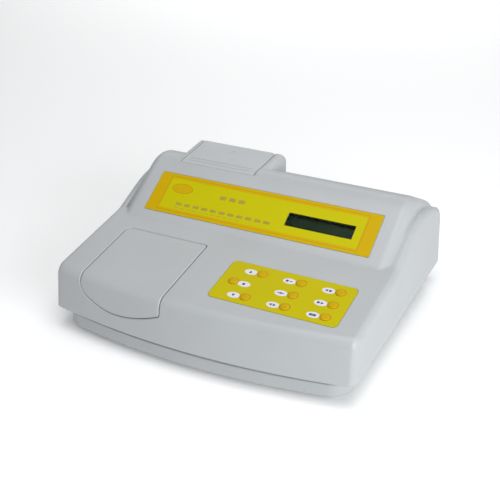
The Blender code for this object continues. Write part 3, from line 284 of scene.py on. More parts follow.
def shown(piece, body, slot, *nodes):
    """Smooth the piece, put it on its body and hide the CAD nodes it stands for."""
    piece.data.shade_smooth()
    piece.data.set_sharp_from_angle(angle=SMOOTH_ANGLE)
    weighted = piece.modifiers.new("weighted", "WEIGHTED_NORMAL")
    weighted.keep_sharp = True
    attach(piece, body)
    if nodes:
        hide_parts(*nodes)


def grid_faces(rows, columns, start=0, flip=False):
    """Faces between rows of points that are open both ways."""
    faces = []
    for i in range(rows - 1):
        for j in range(columns - 1):
            a = start + i * columns + j
            quad = (a, a + 1, a + columns + 1, a + columns)
            faces.append(tuple(reversed(quad)) if flip else quad)
    return faces


def looped_faces(rows, count, flip=False):
    """Faces between rows of points that close both ways, as on the skin of a ring."""
    faces = []
    for row in range(rows):
        low, high = row * count, (row + 1) % rows * count
        for j in range(count):
            a, b = (j, (j + 1) % count)[::-1 if flip else 1]
            faces.append((low + a, low + b, high + b, high + a))
    return faces


def loft(name, rings, finish=None):
    """Solid through closed rings with equal counts; counter-clockwise seen from the last ring."""
    count = len(rings[0])
    points = [point for ring in rings for point in ring]
    faces = [tuple(reversed(range(count)))]
    for i in range(len(rings) - 1):
        for j in range(count):
            k = (j + 1) % count
            faces.append((i * count + j, i * count + k, (i + 1) * count + k, (i + 1) * count + j))
    last = (len(rings) - 1) * count
    faces.append(tuple(range(last, last + count)))
    return new_piece(name, points, faces, finish)


def box(name, x, d, z):
    outline = ((x[0], d[0]), (x[1], d[0]), (x[1], d[1]), (x[0], d[1]))
    return loft(name, [[(px, pd, height) for px, pd in outline] for height in z])


def circle(radius, segments, start=0.0):
    return [(radius * cos(start + 2 * pi * k / segments), radius * sin(start + 2 * pi * k / segments))
            for k in range(segments)]


def along(axis, centre, u, v, w):
    """Point at u, v across an axis and w along it."""
    cx, cd, cz = centre
    if axis == "x":
        return (cx + w, cd + u, cz + v)
    if axis == "d":
        return (cx + v, cd + w, cz + u)
    return (cx + u, cd + v, cz + w)


def turned(name, axis, centre, profile, segments, finish=None):
    """Turned solid from a profile of (radius, distance along the axis), closed if it starts off the axis."""
    points = []
    rows = []
    for radius, w in profile:
        if radius == 0:
            rows.append([len(points)] * segments)
            points.append(along(axis, centre, 0, 0, w))
        else:
            rows.append(list(range(len(points), len(points) + segments)))
            points += [along(axis, centre, u, v, w) for u, v in circle(radius, segments, pi / segments)]
    faces = []
    closed = profile[0][0] != 0
    for i in range(len(rows) if closed else len(rows) - 1):
        low, high = rows[i], rows[(i + 1) % len(rows)]
        for j in range(segments):
            k = (j + 1) % segments
            face = [low[j], low[k], high[k], high[j]]
            unique = [p for n, p in enumerate(face) if p not in face[:n]]
            if len(unique) > 2:
                faces.append(unique)
    return new_piece(name, points, faces, finish)


def rod(name, axis, centre, radius, length, segments, finish=None):
    return turned(name, axis, centre, [(0, 0), (radius, 0), (radius, length), (0, length)], segments, finish)


def rounded_outline(area, radius, steps=6):
    """Counter-clockwise rectangle (x from, to, y from, to) with rounded corners."""
    x0, x1, y0, y1 = area
    corners = ((x1 - radius, y0 + radius, -90), (x1 - radius, y1 - radius, 0),
               (x0 + radius, y1 - radius, 90), (x0 + radius, y0 + radius, 180))
    outline = []
    for cx, cy, start in corners:
        for k in range(steps + 1):
            angle = radians(start + 90 * k / steps)
            outline.append((cx + radius * cos(angle), cy + radius * sin(angle)))
    return outline


def circle_at(u, v, radius, segments):
    return [(u + a, v + b) for a, b in circle(radius, segments)]


def grown(area, by):
    """The area (x from, to, y from, to) moved out by a distance on every side."""
    x0, x1, y0, y1 = area
    return (x0 - by, x1 + by, y0 - by, y1 + by)


def edge_round(radius, steps=4):
    """(depth below the top face, how far the outline draws in) round an outer edge, from the top down."""
    return [(radius * (1 - cos(pi / 2 * k / steps)), radius * (1 - sin(pi / 2 * k / steps)))
            for k in range(steps + 1)]


def mouth_round(radius, steps=4):
    """(depth below the face, how far an opening widens) for a rounded mouth, from just above the face."""
    first = pi / 9
    arc = []
    for k in range(steps + 1):
        angle = first + (pi / 2 - first) * k / steps
        arc.append((radius * (1 - cos(angle)), radius * (1 - sin(angle))))
    above = 0.3
    flare = arc[0][1] + (arc[0][0] + above) / tan(first)
    return [(-above, flare)] + arc


# ---------------------------------------------------------------- sloping faces
class Slope:
    """A plane that rises to the back: u is x, v runs up the slope and h stands out of it."""

    def __init__(self, d, z, tilt):
        self.d, self.z, self.tilt = d, z, tilt

    def at(self, u, v, h):
        return (u, self.d + v * cos(self.tilt) - h * sin(self.tilt),
                self.z + v * sin(self.tilt) + h * cos(self.tilt))

    def plate(self, name, levels, finish=None):
        """Solid through (outline, height) levels, listed from the lowest."""
        return loft(name, [[self.at(u, v, h) for u, v in outline] for outline, h in levels], finish)

    def sheet(self, name, area, corner, low, high, edge, finish=None):
        """Rounded plate with a small rounding round its top edge."""
        levels = [(rounded_outline(area, corner), low)]
        for depth, inwards in reversed(edge_round(edge, 3)):
            outline = rounded_outline(grown(area, -inwards), max(corner - inwards, 0.05))
            levels.append((outline, high - depth))
        return self.plate(name, levels, finish)

    def recess(self, name, area, corner, low, edge=EDGE_R):
        """Cutter for a pocket with a rounded mouth."""
        levels = [(rounded_outline(area, corner), low)]
        for depth, outwards in reversed(mouth_round(edge, 3)):
            levels.append((rounded_outline(grown(area, outwards), corner + outwards), -depth))
        return self.plate(name, levels + [(levels[-1][0], 12.0)])

    def prism(self, name, outline, low, high):
        return self.plate(name, [(outline, low), (outline, high)])

    def block(self, name, area, low, high):
        x0, x1, v0, v1 = area
        return self.prism(name, ((x0, v0), (x1, v0), (x1, v1), (x0, v1)), low, high)

    def rod(self, name, u, v, profile, segments, finish=None):
        """Solid turned about the slope's normal through (u, v), from (radius, height) rings."""
        return self.plate(name, [(circle_at(u, v, radius, segments), h) for radius, h in profile], finish)


DECK = Slope(0.0, DECK_Z, DECK_TILT)
JUNCTION_Z = DECK_Z + JUNCTION_D * tan(DECK_TILT)
DISPLAY = Slope(JUNCTION_D, JUNCTION_Z, DISPLAY_TILT)
BOSS_TOP = Slope(BOSS_TOP_D, BOSS_TOP_Z, BOSS_TOP_TILT)


# ---------------------------------------------------------------- the housing's surface
def rounded_path(corners, radii, steps):
    """Open path through the corners, each inner corner replaced by an arc."""
    path = [corners[0]]
    for before, corner, after, radius in zip(corners, corners[1:], corners[2:], radii):
        a = atan2(corner[1] - before[1], corner[0] - before[0])
        b = atan2(after[1] - corner[1], after[0] - corner[0])
        turn = b - a
        reach = radius * tan(abs(turn) / 2)
        side = 1 if turn > 0 else -1
        start = (corner[0] - reach * cos(a), corner[1] - reach * sin(a))
        centre = (start[0] - side * radius * sin(a), start[1] + side * radius * cos(a))
        for k in range(steps + 1):
            angle = a + turn * k / steps
            path.append((centre[0] + side * radius * sin(angle), centre[1] - side * radius * cos(angle)))
    path.append(corners[-1])
    return path


def sunk(corners, depth):
    """The same corners moved down square to the path's stretches."""
    lines = []
    for (d0, z0), (d1, z1) in zip(corners, corners[1:]):
        length = hypot(d1 - d0, z1 - z0)
        lines.append((d0 + (z1 - z0) / length * depth, z0 - (d1 - d0) / length * depth,
                      (d1 - d0) / length, (z1 - z0) / length))
    moved = [lines[0][:2]]
    for (ad, az, au, av), (bd, bz, bu, bv) in zip(lines, lines[1:]):
        t = ((bd - ad) * bv - (bz - az) * bu) / (au * bv - av * bu)
        moved.append((ad + t * au, az + t * av))
    end_d, end_z, u, v = lines[-1]
    length = hypot(corners[-1][0] - corners[-2][0], corners[-1][1] - corners[-2][1])
    moved.append((end_d + u * length, end_z + v * length))
    return moved


def side_corners(start_d, crest_d, tilt, rear_tilt):
    """Corners of a lengthwise profile: over the deck, up to a crest and down the rear."""
    lead = 40.0
    start_z = DECK_Z + start_d * tan(DECK_TILT)
    crest_z = start_z + (crest_d - start_d) * tan(tilt)
    return [(-lead, DECK_Z - lead * tan(DECK_TILT)), (start_d, start_z), (crest_d, crest_z),
            (crest_d + SLOPE_TAIL, crest_z - SLOPE_TAIL * tan(rear_tilt))]


def edge_drop(distance, radius):
    """How far a rounded edge has fallen, at a distance past the start of its rounding."""
    inside = min(max(distance, 0.0), radius)
    return radius - sqrt(radius * radius - inside * inside)


def height_on(path, d):
    """Height of a lengthwise path at d."""
    for (d0, z0), (d1, z1) in zip(path, path[1:]):
        if d0 <= d <= d1 and d1 > d0:
            return z0 + (z1 - z0) * (d - d0) / (d1 - d0)
    return path[-1][1]


def soft_rise(rise, reach):
    """rise where it is positive and 0 where it isn't, with the change softened over reach."""
    if rise >= reach:
        return rise
    if rise <= -reach:
        return 0.0
    return (rise + reach) ** 2 / (4 * reach)


class Skin:
    """The upper housing's surface, moved inwards by an inset (0 is the outside)."""

    def __init__(self, inset, steps=14):
        self.inset = inset
        hump = side_corners(JUNCTION_D, CREST_D, DISPLAY_TILT, REAR_TILT)
        shoulder = side_corners(SHOULDER_START_D, SHOULDER_D, SHOULDER_TILT, SHOULDER_REAR_TILT)
        self.hump = rounded_path(sunk(hump, inset), (JUNCTION_R + inset, CREST_R - inset), steps)
        self.shoulder = rounded_path(sunk(shoulder, inset), (JUNCTION_R + inset, SHOULDER_R - inset), steps)
        self.half = WIDTH / 2 - inset
        self.hump_half = HUMP_HALF - inset
        self.front_r = FRONT_EDGE_R - inset
        self.rear_r = REAR_EDGE_R - inset
        self.side_r = SIDE_EDGE_R - inset
        self.corner_r = CORNER_R - inset

    def height(self, x, d):
        side = abs(x)
        shoulder = height_on(self.shoulder, d)
        fall = edge_drop(side - (self.hump_half - HUMP_EDGE_R), HUMP_EDGE_R)
        fall += max(0.0, side - self.hump_half) * HUMP_SIDE_SLOPE
        soft = min(CREASE_R, max(0.0, d - JUNCTION_D - JUNCTION_R / 3) * 0.06)
        rise = height_on(self.hump, d) - fall - shoulder
        top = shoulder + (soft_rise(rise, soft) if soft > 0 else max(rise, 0.0))
        return top - edge_drop(side - (self.half - self.side_r), self.side_r)

    def front(self, x):
        side = abs(x)
        return (self.inset + BOW * (side / (WIDTH / 2)) ** 2
                + edge_drop(side - (self.half - self.corner_r), self.corner_r))

    def rear(self, x):
        return DEPTH - self.inset - edge_drop(abs(x) - (self.half - self.corner_r), self.corner_r)

    def front_edge(self, x):
        lean = LEAN_MIDDLE - (LEAN_MIDDLE - LEAN_ENDS) * (x / (WIDTH / 2)) ** 2
        return EdgeArc(self, x, self.front(x), self.front_r, 1, DECK_TILT, lean)

    def leaned(self, x, z):
        """x moved inwards by the side wall's draft; only the shoulders lean."""
        outside = max(0.0, (abs(x) - self.hump_half - HUMP_SIDE_STEP) / (self.half - self.hump_half))
        shift = outside * DRAFT * (z - SPLIT_Z)
        return x - shift if x > 0 else x + shift

    def section(self, x, depths, steps):
        """Points from the foot of the front wall over the top to the foot of the rear wall."""
        front, rear = self.front(x), self.rear(x)
        front_edge = self.front_edge(x)
        rear_edge = EdgeArc(self, x, rear, self.rear_r, -1, REAR_TILT, DRAFT)
        points = [(front, SPLIT_Z)] + [front_edge.at(k / steps) for k in range(steps + 1)]
        points += [(d, self.height(x, d)) for d in depths]
        points += [rear_edge.at(1 - k / steps) for k in range(steps + 1)] + [(rear, SPLIT_Z)]
        return [(self.leaned(x, z), d, z) for d, z in points]

    def stations(self, middle=13, hump_edge=8, wall=4, side_edge=9):
        """x of the sections: over the middle, round the hump's edge and round the side edge."""
        start = self.hump_half - HUMP_EDGE_R
        side = [start * k / middle for k in range(middle)]
        side += [start + HUMP_EDGE_R * sin(pi / 2 * k / hump_edge) for k in range(hump_edge + 1)]
        side += [self.hump_half + HUMP_SIDE_STEP * k / wall for k in range(1, wall + 1)]
        start = self.half - max(self.side_r, self.corner_r)
        reach = self.half - start
        side += [start + reach * sin(pi / 2 * k / side_edge) for k in range(side_edge + 1)]
        return [-x for x in reversed(side[1:])] + side

    def depths(self, spacing):
        """Where the top changes slope, between the roundings of the front and the rear edge."""
        low, high = 58.0, 288.0
        kept = [low]
        for d in sorted({round(d, 2) for d, _ in self.hump + self.shoulder if low < d < high}):
            if d - kept[-1] > spacing:
                kept.append(d)
        return kept + [high]


class EdgeArc:
    """Rounding from a leaning wall into a face that rises away from it (sign is the way inwards)."""

    def __init__(self, skin, x, foot, radius, sign, tilt, lean):
        self.radius, self.sign = radius, sign
        self.foot, self.lean = foot, lean
        self.first = atan2(lean, 1.0)
        self.sweep = pi / 2 - tilt - self.first
        self.centre_z = skin.height(x, foot + sign * radius) - radius
        for _ in range(6):              # settles on the circle that touches both faces
            self.centre_d = self.wall_d(self.centre_z) + sign * radius / cos(self.first)
            touch = self.centre_d - sign * radius * sin(tilt)
            self.centre_z = skin.height(x, touch) - radius * cos(tilt)

    def wall_d(self, z):
        return self.foot + self.sign * self.lean * (z - SPLIT_Z)

    def at(self, share):
        """Point on the arc, from 0 at the wall to 1 at the top face."""
        angle = self.first + self.sweep * share
        return (self.centre_d - self.sign * self.radius * cos(angle),
                self.centre_z + self.radius * sin(angle))

    def share_at(self, z):
        """Where the arc is at a height, below 0 when that is on the wall."""
        rise = (z - self.centre_z) / self.radius
        return (asin(max(-1.0, min(1.0, rise))) - self.first) / self.sweep


OUTER = Skin(0.0)


def shell():
    """Closed shell between the outer skin and one a wall's thickness inside it, open underneath."""
    points, faces, ends = [], [], []
    for skin, flip, steps, spacing in ((OUTER, False, 12, 1.1), (Skin(WALL, 5), True, 4, 5.0)):
        depths = skin.depths(spacing)
        xs = skin.stations()
        start = len(points)
        for x in xs:
            points += skin.section(x, depths, steps)
        columns = (len(points) - start) // len(xs)
        faces += grid_faces(len(xs), columns, start, not flip)
        left = list(range(start, start + columns))
        right = list(range(start + (len(xs) - 1) * columns, start + len(xs) * columns))
        faces.append(left[::-1] if flip else left)
        faces.append(right if flip else right[::-1])
        front = [start + i * columns for i in range(len(xs))]
        rear = [start + (i + 1) * columns - 1 for i in range(len(xs))]
        ends.append(front + rear[::-1])
    out, into = ends
    for i in range(len(out)):
        j = (i + 1) % len(out)
        faces.append((out[i], into[i], into[j], out[j]))
    return new_piece("housing_shell", points, [tuple(face) for face in faces], HOUSING)


# ---------------------------------------------------------------- the lid's outline
def flap_edge_z(x):
    """Lower edge of the lid's front flap: an arc that is lowest near the lid's middle."""
    rise, reach, power = (12.7, 55.2, 1.8) if x > LID_LOW_X else (15.4, 47.2, 2.0)
    return LID_LOW_Z + rise * (abs(x - LID_LOW_X) / reach) ** power


def lid_path(skin, x, rear_d, low_z, steps):
    """Line over the deck at x from rear_d to the front edge and round it down to low_z."""
    edge = skin.front_edge(x)
    end = max(0.0, edge.share_at(low_z))
    arc_steps = steps if end == 0.0 else steps + 1
    path = [(rear_d, skin.height(x, rear_d)), (60.0, skin.height(x, 60.0))]
    path += [edge.at(1 - (1 - end) * k / arc_steps) for k in range(arc_steps + 1)]
    if end == 0.0:
        path.append((edge.wall_d(low_z), low_z))
    return [(x, d, z) for d, z in path]


def corner_cut(x, x0, x1, corners, spread):
    """How far the outline has drawn in at x because of its rounded left and right corners."""
    left, right = (max(radius + spread, 0.05) for radius in corners)
    return edge_drop(left - (x - x0), left) + edge_drop(right - (x1 - x), right)


def lid_stations(x0, x1, middle=14, round_steps=7):
    """x across the lid, closer together round its corners."""
    left = max(LID_REAR_CORNERS[0], LID_FLAP_CORNERS[0])
    right = max(LID_REAR_CORNERS[1], LID_FLAP_CORNERS[1])
    turn = [1 - cos(pi / 2 * k / round_steps) for k in range(round_steps + 1)]
    xs = [x0 + left * share for share in turn]
    xs += [x0 + left + (x1 - x0 - left - right) * k / middle for k in range(1, middle)]
    return xs + [x1 - right * share for share in reversed(turn)]


def lid_shape(name, levels, finish=None):
    """Closed sheet over the deck and front wall; each level is (inset, spread beyond the lid's outline)."""
    points, faces, rims = [], [], []
    for inset, spread in levels:
        skin = Skin(inset, 5)
        x0, x1 = LID_X[0] - spread, LID_X[1] + spread
        start = len(points)
        xs = lid_stations(x0, x1)
        for x in xs:
            rear = LID_REAR_D + spread - corner_cut(x, x0, x1, LID_REAR_CORNERS, spread)
            low = flap_edge_z(x) - spread + corner_cut(x, x0, x1, LID_FLAP_CORNERS, spread)
            points += lid_path(skin, x, rear, low, 12)
        columns = (len(points) - start) // len(xs)
        rim = list(range(columns)) + [i * columns + columns - 1 for i in range(1, len(xs))]
        last = (len(xs) - 1) * columns
        rim += list(range(last + columns - 2, last - 1, -1))
        rim += [i * columns for i in range(len(xs) - 2, 0, -1)]
        rims.append([start + index for index in rim])
        if len(rims) == 1 or len(rims) == len(levels):
            faces += grid_faces(len(xs), columns, start, len(rims) > 1)
    for above, below in zip(rims, rims[1:]):
        for i in range(len(above)):
            j = (i + 1) % len(above)
            faces.append((above[j], above[i], below[i], below[j]))
    return new_piece(name, points, faces, finish)


HINGE_BACK, HINGE_DEPTH = 7.0, 3.4
HINGE_V = LID_REAR_D / cos(DECK_TILT) - HINGE_BACK
HINGE_AT = DECK.at(LID_X[0], HINGE_V, -HINGE_DEPTH)
HINGE_D, HINGE_Z = HINGE_AT[1:]


def lid_barrel(name, x, length, radius):
    return rod(name, "x", (x, HINGE_D, HINGE_Z), radius, length, 32)


def make_lid():
    levels = [(depth, LID_SPREAD - inwards) for depth, inwards in edge_round(LID_EDGE_R)]
    levels.append((LID_THICK, LID_SPREAD))
    lid = lid_shape("lid_shell", levels, HOUSING)
    carve(lid, [lid_barrel("barrel", LID_X[0] + 1.0, 100.6, HINGE_R)], "UNION")
    carve(lid, [lid_barrel("bore", LID_X[0] - 5.0, 112.0, PIN_R + 0.2)])
    shown(lid, "lid", "housing_plastic", "sample_lid")


# ---------------------------------------------------------------- upper housing
SCREWS = ((-154.0, 66.0), (154.0, 66.0), (-154.0, 266.0), (154.0, 232.0))
POST_Z = 16.8
FEET = ((-135.0, 48.0), (135.0, 48.0), (-135.0, 275.0), (135.0, 275.0))
REAR_OPENING = (28.0, 158.0, 35.0, 78.0)    # x from, to, z from, to


def key_places():
    """Centre of each key on the deck, row by row from the rear left."""
    return [(x + FIRST_KEY_SHIFT if row == 1 and column == 0 else x, v)
            for row, v in enumerate(KEY_ROWS) for column, x in enumerate(KEY_COLUMNS)]


def boss_body():
    """Light-source housing: it carries the display slope on, turns level and is rounded at its rear."""
    x0, x1, _, rear = BOSS
    foot_z, proud, turn_r, rear_r = 112.0, 0.12, 16.0, 1.0
    slope = tan(DISPLAY_TILT)
    start = 196.0
    top_at = ((BOSS_TOP_Z - JUNCTION_Z - proud) / slope) + JUNCTION_D
    line = rounded_path([(start, JUNCTION_Z + (start - JUNCTION_D) * slope + proud), (top_at, BOSS_TOP_Z),
                         (rear, BOSS_TOP_Z + (rear - BOSS_TOP_D) * tan(BOSS_TOP_TILT))], (turn_r,), 8)
    end_d, end_z = line.pop()
    for k in range(6):
        reach = rear_r * sin(pi / 2 * k / 5)
        d = rear - rear_r + reach
        line.append((d, end_z - (end_d - d) * tan(BOSS_TOP_TILT) - edge_drop(reach, rear_r)))
    rings = []
    for d, top in line:
        ring = [(x0, d, foot_z), (x1, d, foot_z)]
        radius = min(BOSS_EDGE_R, (top - foot_z) * 0.9)
        for cx, first in ((x1 - radius, 0), (x0 + radius, 90)):
            for k in range(9):
                angle = radians(first + 90 * k / 8)
                ring.append((cx + radius * cos(angle), d, top - radius + radius * sin(angle)))
        rings.append(ring)
    return loft("boss", rings[::-1])


def boss_inside():
    x0, x1, front, rear = grown(BOSS, -WALL)
    roof = BOSS_TOP_Z - 6.2
    return box("boss_inside", (x0, x1), (front, rear), (90.0, roof))


def cover_pocket():
    """Pocket of the cover: tight at the front, with a cant along each side."""
    x0, x1, d0, d1 = COVER
    v0, v1 = d0 - 0.2 - BOSS_TOP_D, d1 + 30.0 - BOSS_TOP_D
    inner = (x0 - 0.5, x1 + 0.5, v0, v1)
    outer = (x0 - 0.5 - COVER_CANT, x1 + 0.5 + COVER_CANT, v0, v1)
    levels = ((inner, -2.9), (inner, -COVER_CANT_DEPTH), (outer, 0.0), (outer, 3.0))
    return BOSS_TOP.plate("cover_pocket", [(rounded_outline(area, 0.9), h) for area, h in levels])


def lamp_access():
    x0, x1, d0, d1 = COVER
    area = (x0 + 9.0, x1 - 9.0, d0 + 12.0 - BOSS_TOP_D, d1 - 14.0 - BOSS_TOP_D)
    return BOSS_TOP.prism("lamp_access", rounded_outline(area, 3.0), -12.0, 2.0)


def lid_opening():
    mouth = mouth_round(LID_EDGE_R)
    levels = [(-6.0, mouth[0][1])] + mouth + [(4.5, 0.0)]
    return lid_shape("lid_opening", [(inset, LID_GAP + spread) for inset, spread in levels])


def rear_opening():
    x0, x1, z0, z1 = REAR_OPENING
    outline = rounded_outline((x0, x1, z0, z1), 2.0)
    return loft("rear_opening", [[(x, d, z) for x, z in outline] for d in (DEPTH + 5.0, DEPTH - 12.0)])


def inner_posts():
    """Screw posts, and the two ears that hold the hinge pin."""
    posts = []
    for x, d in SCREWS:
        top = min(OUTER.height(x + a, d + b) for a, b in circle(4.5, 8)) - WALL / 2
        posts.append(rod("post", "z", (x, d, POST_Z), 4.5, top - POST_Z, 24))
    for x in (LID_X[0] - 6.4, LID_X[1] + 1.8):
        posts.append(DECK.block("ear", (x, x + 4.6, HINGE_V - 4.0, HINGE_V + 12.0), -9.0, -WALL + 0.8))
    return posts


def make_housing():
    housing = shell()
    carve(housing, [boss_body()] + inner_posts(), "UNION")
    carve(housing, [boss_inside()])
    panel = DISPLAY.recess("panel_recess", grown(PANEL, 0.5), 1.9, -OVERLAY_SINK, 0.4)
    keypad = DECK.recess("keypad_recess", grown(KEYPAD, 0.4), KEYPAD_CORNER_R, -OVERLAY_SINK, 0.4)
    carve(housing, [cover_pocket(), panel, keypad, lid_opening(), rear_opening()])
    view = DISPLAY.block("lcd_opening", grown(LCD, 1.6), -9.0, 9.0)
    holes = [DECK.rod("key_hole", x, v, ((3.6, -6.0), (3.6, 3.0)), 20) for x, v in key_places()]
    holes += [rod("post_hole", "z", (x, d, POST_Z - 1.0), 1.9, 14.0, 16) for x, d in SCREWS]
    pin = lid_barrel("pin_hole", LID_X[0] - 5.0, 112.6, PIN_R + 0.15)
    carve(housing, [lamp_access(), view, pin] + holes)
    shown(housing, "housing", "housing_plastic", "upper_housing")


# ---------------------------------------------------------------- base
def base_outline(side, front, rear, bow, radius, steps=10, middle=12):
    """Outline of the base seen from above, counter-clockwise, with a bowed front."""
    half = WIDTH / 2 - side
    arc = [(sin(pi / 2 * k / steps), 1 - cos(pi / 2 * k / steps)) for k in range(steps + 1)]
    straight = [(half - radius) * (k / middle) for k in range(middle)]
    xs = straight + [half - radius + radius * s for s, _ in arc]
    back = [0.0] * len(straight) + [radius * c for _, c in arc]
    ahead = [(x, front + bow * (x / (WIDTH / 2)) ** 2 + fall) for x, fall in zip(xs, back)]
    behind = [(half - radius + radius * s, DEPTH - rear - radius * c) for s, c in arc]
    right = ahead + behind[::-1]
    left = [(-x, d) for x, d in right[1:]]
    return right + left[::-1]


def base_ring(z, inset):
    return [(x, d, z) for x, d in base_outline(BASE_SIDE + inset, BASE_FRONT + inset, BASE_REAR + inset,
                                               BASE_BOW, BASE_CORNER_R - inset)]


RAIL_POSTS = ((-98.0, 50.0), (-80.0, 90.0), (-98.0, 200.0), (-80.0, 250.0))


def make_base():
    lip = WALL + 1.0
    rim = base_outline(lip, lip, lip, BOW, CORNER_R)
    foot_r = 3.2
    rings = [base_ring(FOOT_HEIGHT + depth, inwards) for depth, inwards in edge_round(foot_r, 7)]
    for z, inset in ((SPLIT_Z - 6.2, -0.4), (SPLIT_Z - 5.8, -0.1), (SPLIT_Z - 5.2, 1.3), (SPLIT_Z, 1.3)):
        rings.append(base_ring(z, inset))
    rings += [[(x, d, SPLIT_Z) for x, d in rim],
              [(x, d, SPLIT_Z + RIM_HEIGHT) for x, d in rim], base_ring(SPLIT_Z + RIM_HEIGHT, WALL),
              base_ring(FLOOR_Z, WALL)]
    tray = loft("base_tray", rings, HOUSING)
    posts = [rod("seat", "z", (x, d, FLOOR_Z - 1.0), 6.0, 8.0, 24) for x, d in SCREWS]
    rail_z = extent("optics_rail")[2][0] - 0.3
    posts += [rod("rail_post", "z", (x, d, FLOOR_Z - 1.0), 5.0, rail_z - FLOOR_Z + 1.0, 24)
              for x, d in RAIL_POSTS]
    carve(tray, posts, "UNION")
    holes = [rod("foot_hole", "z", (x, d, FOOT_HEIGHT - 2.0), 3.3, 8.0, 24) for x, d in FEET]
    screw_way = [(0, -2), (3.8, -2), (3.8, 6), (1.9, 6), (1.9, 16), (0, 16)]
    holes += [turned("screw_way", "z", (x, d, FOOT_HEIGHT), screw_way, 24) for x, d in SCREWS]
    for number in range(6):
        x = 20.0 + 14.0 * number
        slot = rounded_outline((x, x + 3.0, 228.0, 278.0), 1.4)
        holes.append(loft("vent", [[(px, pd, z) for px, pd in slot]
                                   for z in (FOOT_HEIGHT - 1, FLOOR_Z + 1)]))
    carve(tray, holes)
    shown(tray, "housing", "housing_plastic", "lower_housing")


# ---------------------------------------------------------------- lamp cover
def make_cover():
    x0, x1, d0, d1 = COVER
    v0, v1 = d0 - BOSS_TOP_D, d1 - BOSS_TOP_D
    levels = ((0.0, -2.6), (0.0, -COVER_CANT_DEPTH), (COVER_CANT * 0.8, -0.12), (COVER_CANT, 0.0))
    cover = BOSS_TOP.plate("slide_cover", [(rounded_outline((x0 + cant, x1 - cant, v0, v1), 0.9), h)
                                           for cant, h in levels], HOUSING)
    rib_pitch = 6.5
    ribs = [BOSS_TOP.recess("rib", (x0 + 8.0, x1 - 8.0, v0 + 6.0 + rib_pitch * k, v0 + 8.4 + rib_pitch * k),
                            0.5, -0.5, 0.4) for k in range(2)]
    mid, tip, half = (x0 + x1) / 2, v1 - 14.0, 5.0
    arrow = BOSS_TOP.plate("arrow", [(((mid - half, tip - 7.0), (mid + half, tip - 7.0), (mid, tip)), h)
                                     for h in (-0.3, 4.0)])
    carve(cover, ribs + [arrow])
    shown(cover, "cover", "housing_plastic", "light_source_cover")


# ---------------------------------------------------------------- printed films
PRINT = 0.04                            # thickness of a printed area that stands on a film


def flat_ring(name, slope, outer, inner, low, high, finish):
    """Closed flat ring between two outlines with equal counts."""
    levels = ((outer, low), (outer, high), (inner, high), (inner, low))
    points = [slope.at(u, v, h) for outline, h in levels for u, v in outline]
    return new_piece(name, points, looped_faces(len(levels), len(outer)), finish)


def printed(piece, slot="print_film"):
    shown(piece, "housing", slot)


def make_display():
    film = DISPLAY.sheet("display_film", PANEL, 1.6, OVERLAY_TOP - 0.6, OVERLAY_TOP, 0.15, FILM)
    carve(film, [DISPLAY.block("window", LCD, -3.0, 3.0)])
    shown(film, "housing", "print_film", "display_overlay")
    x0, x1, v0, v1 = PANEL
    band = (x0 + 16.4, x1 - 16.4, v0 + 6.7, v1 - 6.7)
    line = (x0 + 14.6, x1 - 14.6, v0 + 3.5, v1 - 3.5)
    low, high = OVERLAY_TOP - 0.01, OVERLAY_TOP + PRINT
    outer = rounded_outline(grown(PANEL, -0.3), 1.3)
    printed(flat_ring("display_border", DISPLAY, outer, rounded_outline(band, 0.5), low, high, GOLD))
    printed(flat_ring("display_border_line", DISPLAY, rounded_outline(line, 1.0),
                      rounded_outline(grown(line, -0.7), 0.6), low, high + 0.02, GOLD_DEEP))
    badge = (-105.2, 49.1)
    printed(merged("display_badge", [oval(DISPLAY, *badge, 12.6, 6.0, low, high)], GOLD))
    printed(flat_ring("display_badge_ring", DISPLAY, oval_outline(*badge, 13.8, 7.0),
                      oval_outline(*badge, 12.8, 6.2), low, high, GOLD_DEEP))
    bars = [bar(-54.5 + 12.0 * k, 45.0, 8.4, 5.2, low, high) for k in range(3)]
    bars += [bar(-104.6 + 11.4 * k, 25.4, 8.0, 4.0, low, high) for k in range(11)]
    bars += [bar(-104.6 + 8.0 * k, 21.6, 5.6, 0.7, low, high) for k in range(11)]
    printed(merged("display_bars", bars, INK_BROWN))


def oval_outline(u, v, half_width, half_height, segments=48):
    return [(u + half_width * cos(2 * pi * k / segments), v + half_height * sin(2 * pi * k / segments))
            for k in range(segments)]


def oval(slope, u, v, half_width, half_height, low, high):
    return slope.prism("oval", oval_outline(u, v, half_width, half_height), low, high)


def bar(u, v, width, height, low, high):
    outline = rounded_outline((u, u + width, v, v + height), min(width, height) * 0.3, 3)
    return DISPLAY.prism("bar", outline, low, high)


def make_lcd():
    """Window in the film, and the faint rows of character cells in the dark glass under it."""
    top = -OVERLAY_SINK
    window = DISPLAY.sheet("lcd_window_pane", grown(LCD, 1.2), 0.6, top - 1.5, top, 0.1, ACRYLIC)
    shown(window, "housing", "clear_acrylic", "lcd_window")
    x0, x1, v0, v1 = LCD
    glass_top = -5.2
    cells = []
    columns, rows = 16, 2
    pitch_u, pitch_v = (x1 - x0 - 6.0) / columns, (v1 - v0 - 4.0) / rows
    for row in range(rows):
        for column in range(columns):
            u, v = x0 + 3.0 + pitch_u * column, v0 + 2.0 + pitch_v * row
            cells.append(DISPLAY.block("cell", (u + 0.35, u + pitch_u - 0.35, v + 0.4, v + pitch_v - 0.4),
                                       glass_top + 0.02, glass_top + 0.08))
    printed(merged("lcd_cells", cells, LCD_CELL), "lcd_glass")


# ---------------------------------------------------------------- keypad
TAG_SHIFT = -12.9                       # from a key's middle to its tag's
TAG_HALF = (7.3, 4.6)
SHIFTED_KEY = 3                         # index of the key that is left of its tag


def tag_places():
    """Centre of each key's white tag; the shifted key has its tag on the right."""
    return [(x - TAG_SHIFT if index == SHIFTED_KEY else x + TAG_SHIFT, v - 1.0)
            for index, (x, v) in enumerate(key_places())]


def polygon(points, u, v, low, high):
    return DECK.prism("mark", [(u + a, v + b) for a, b in points], low, high)


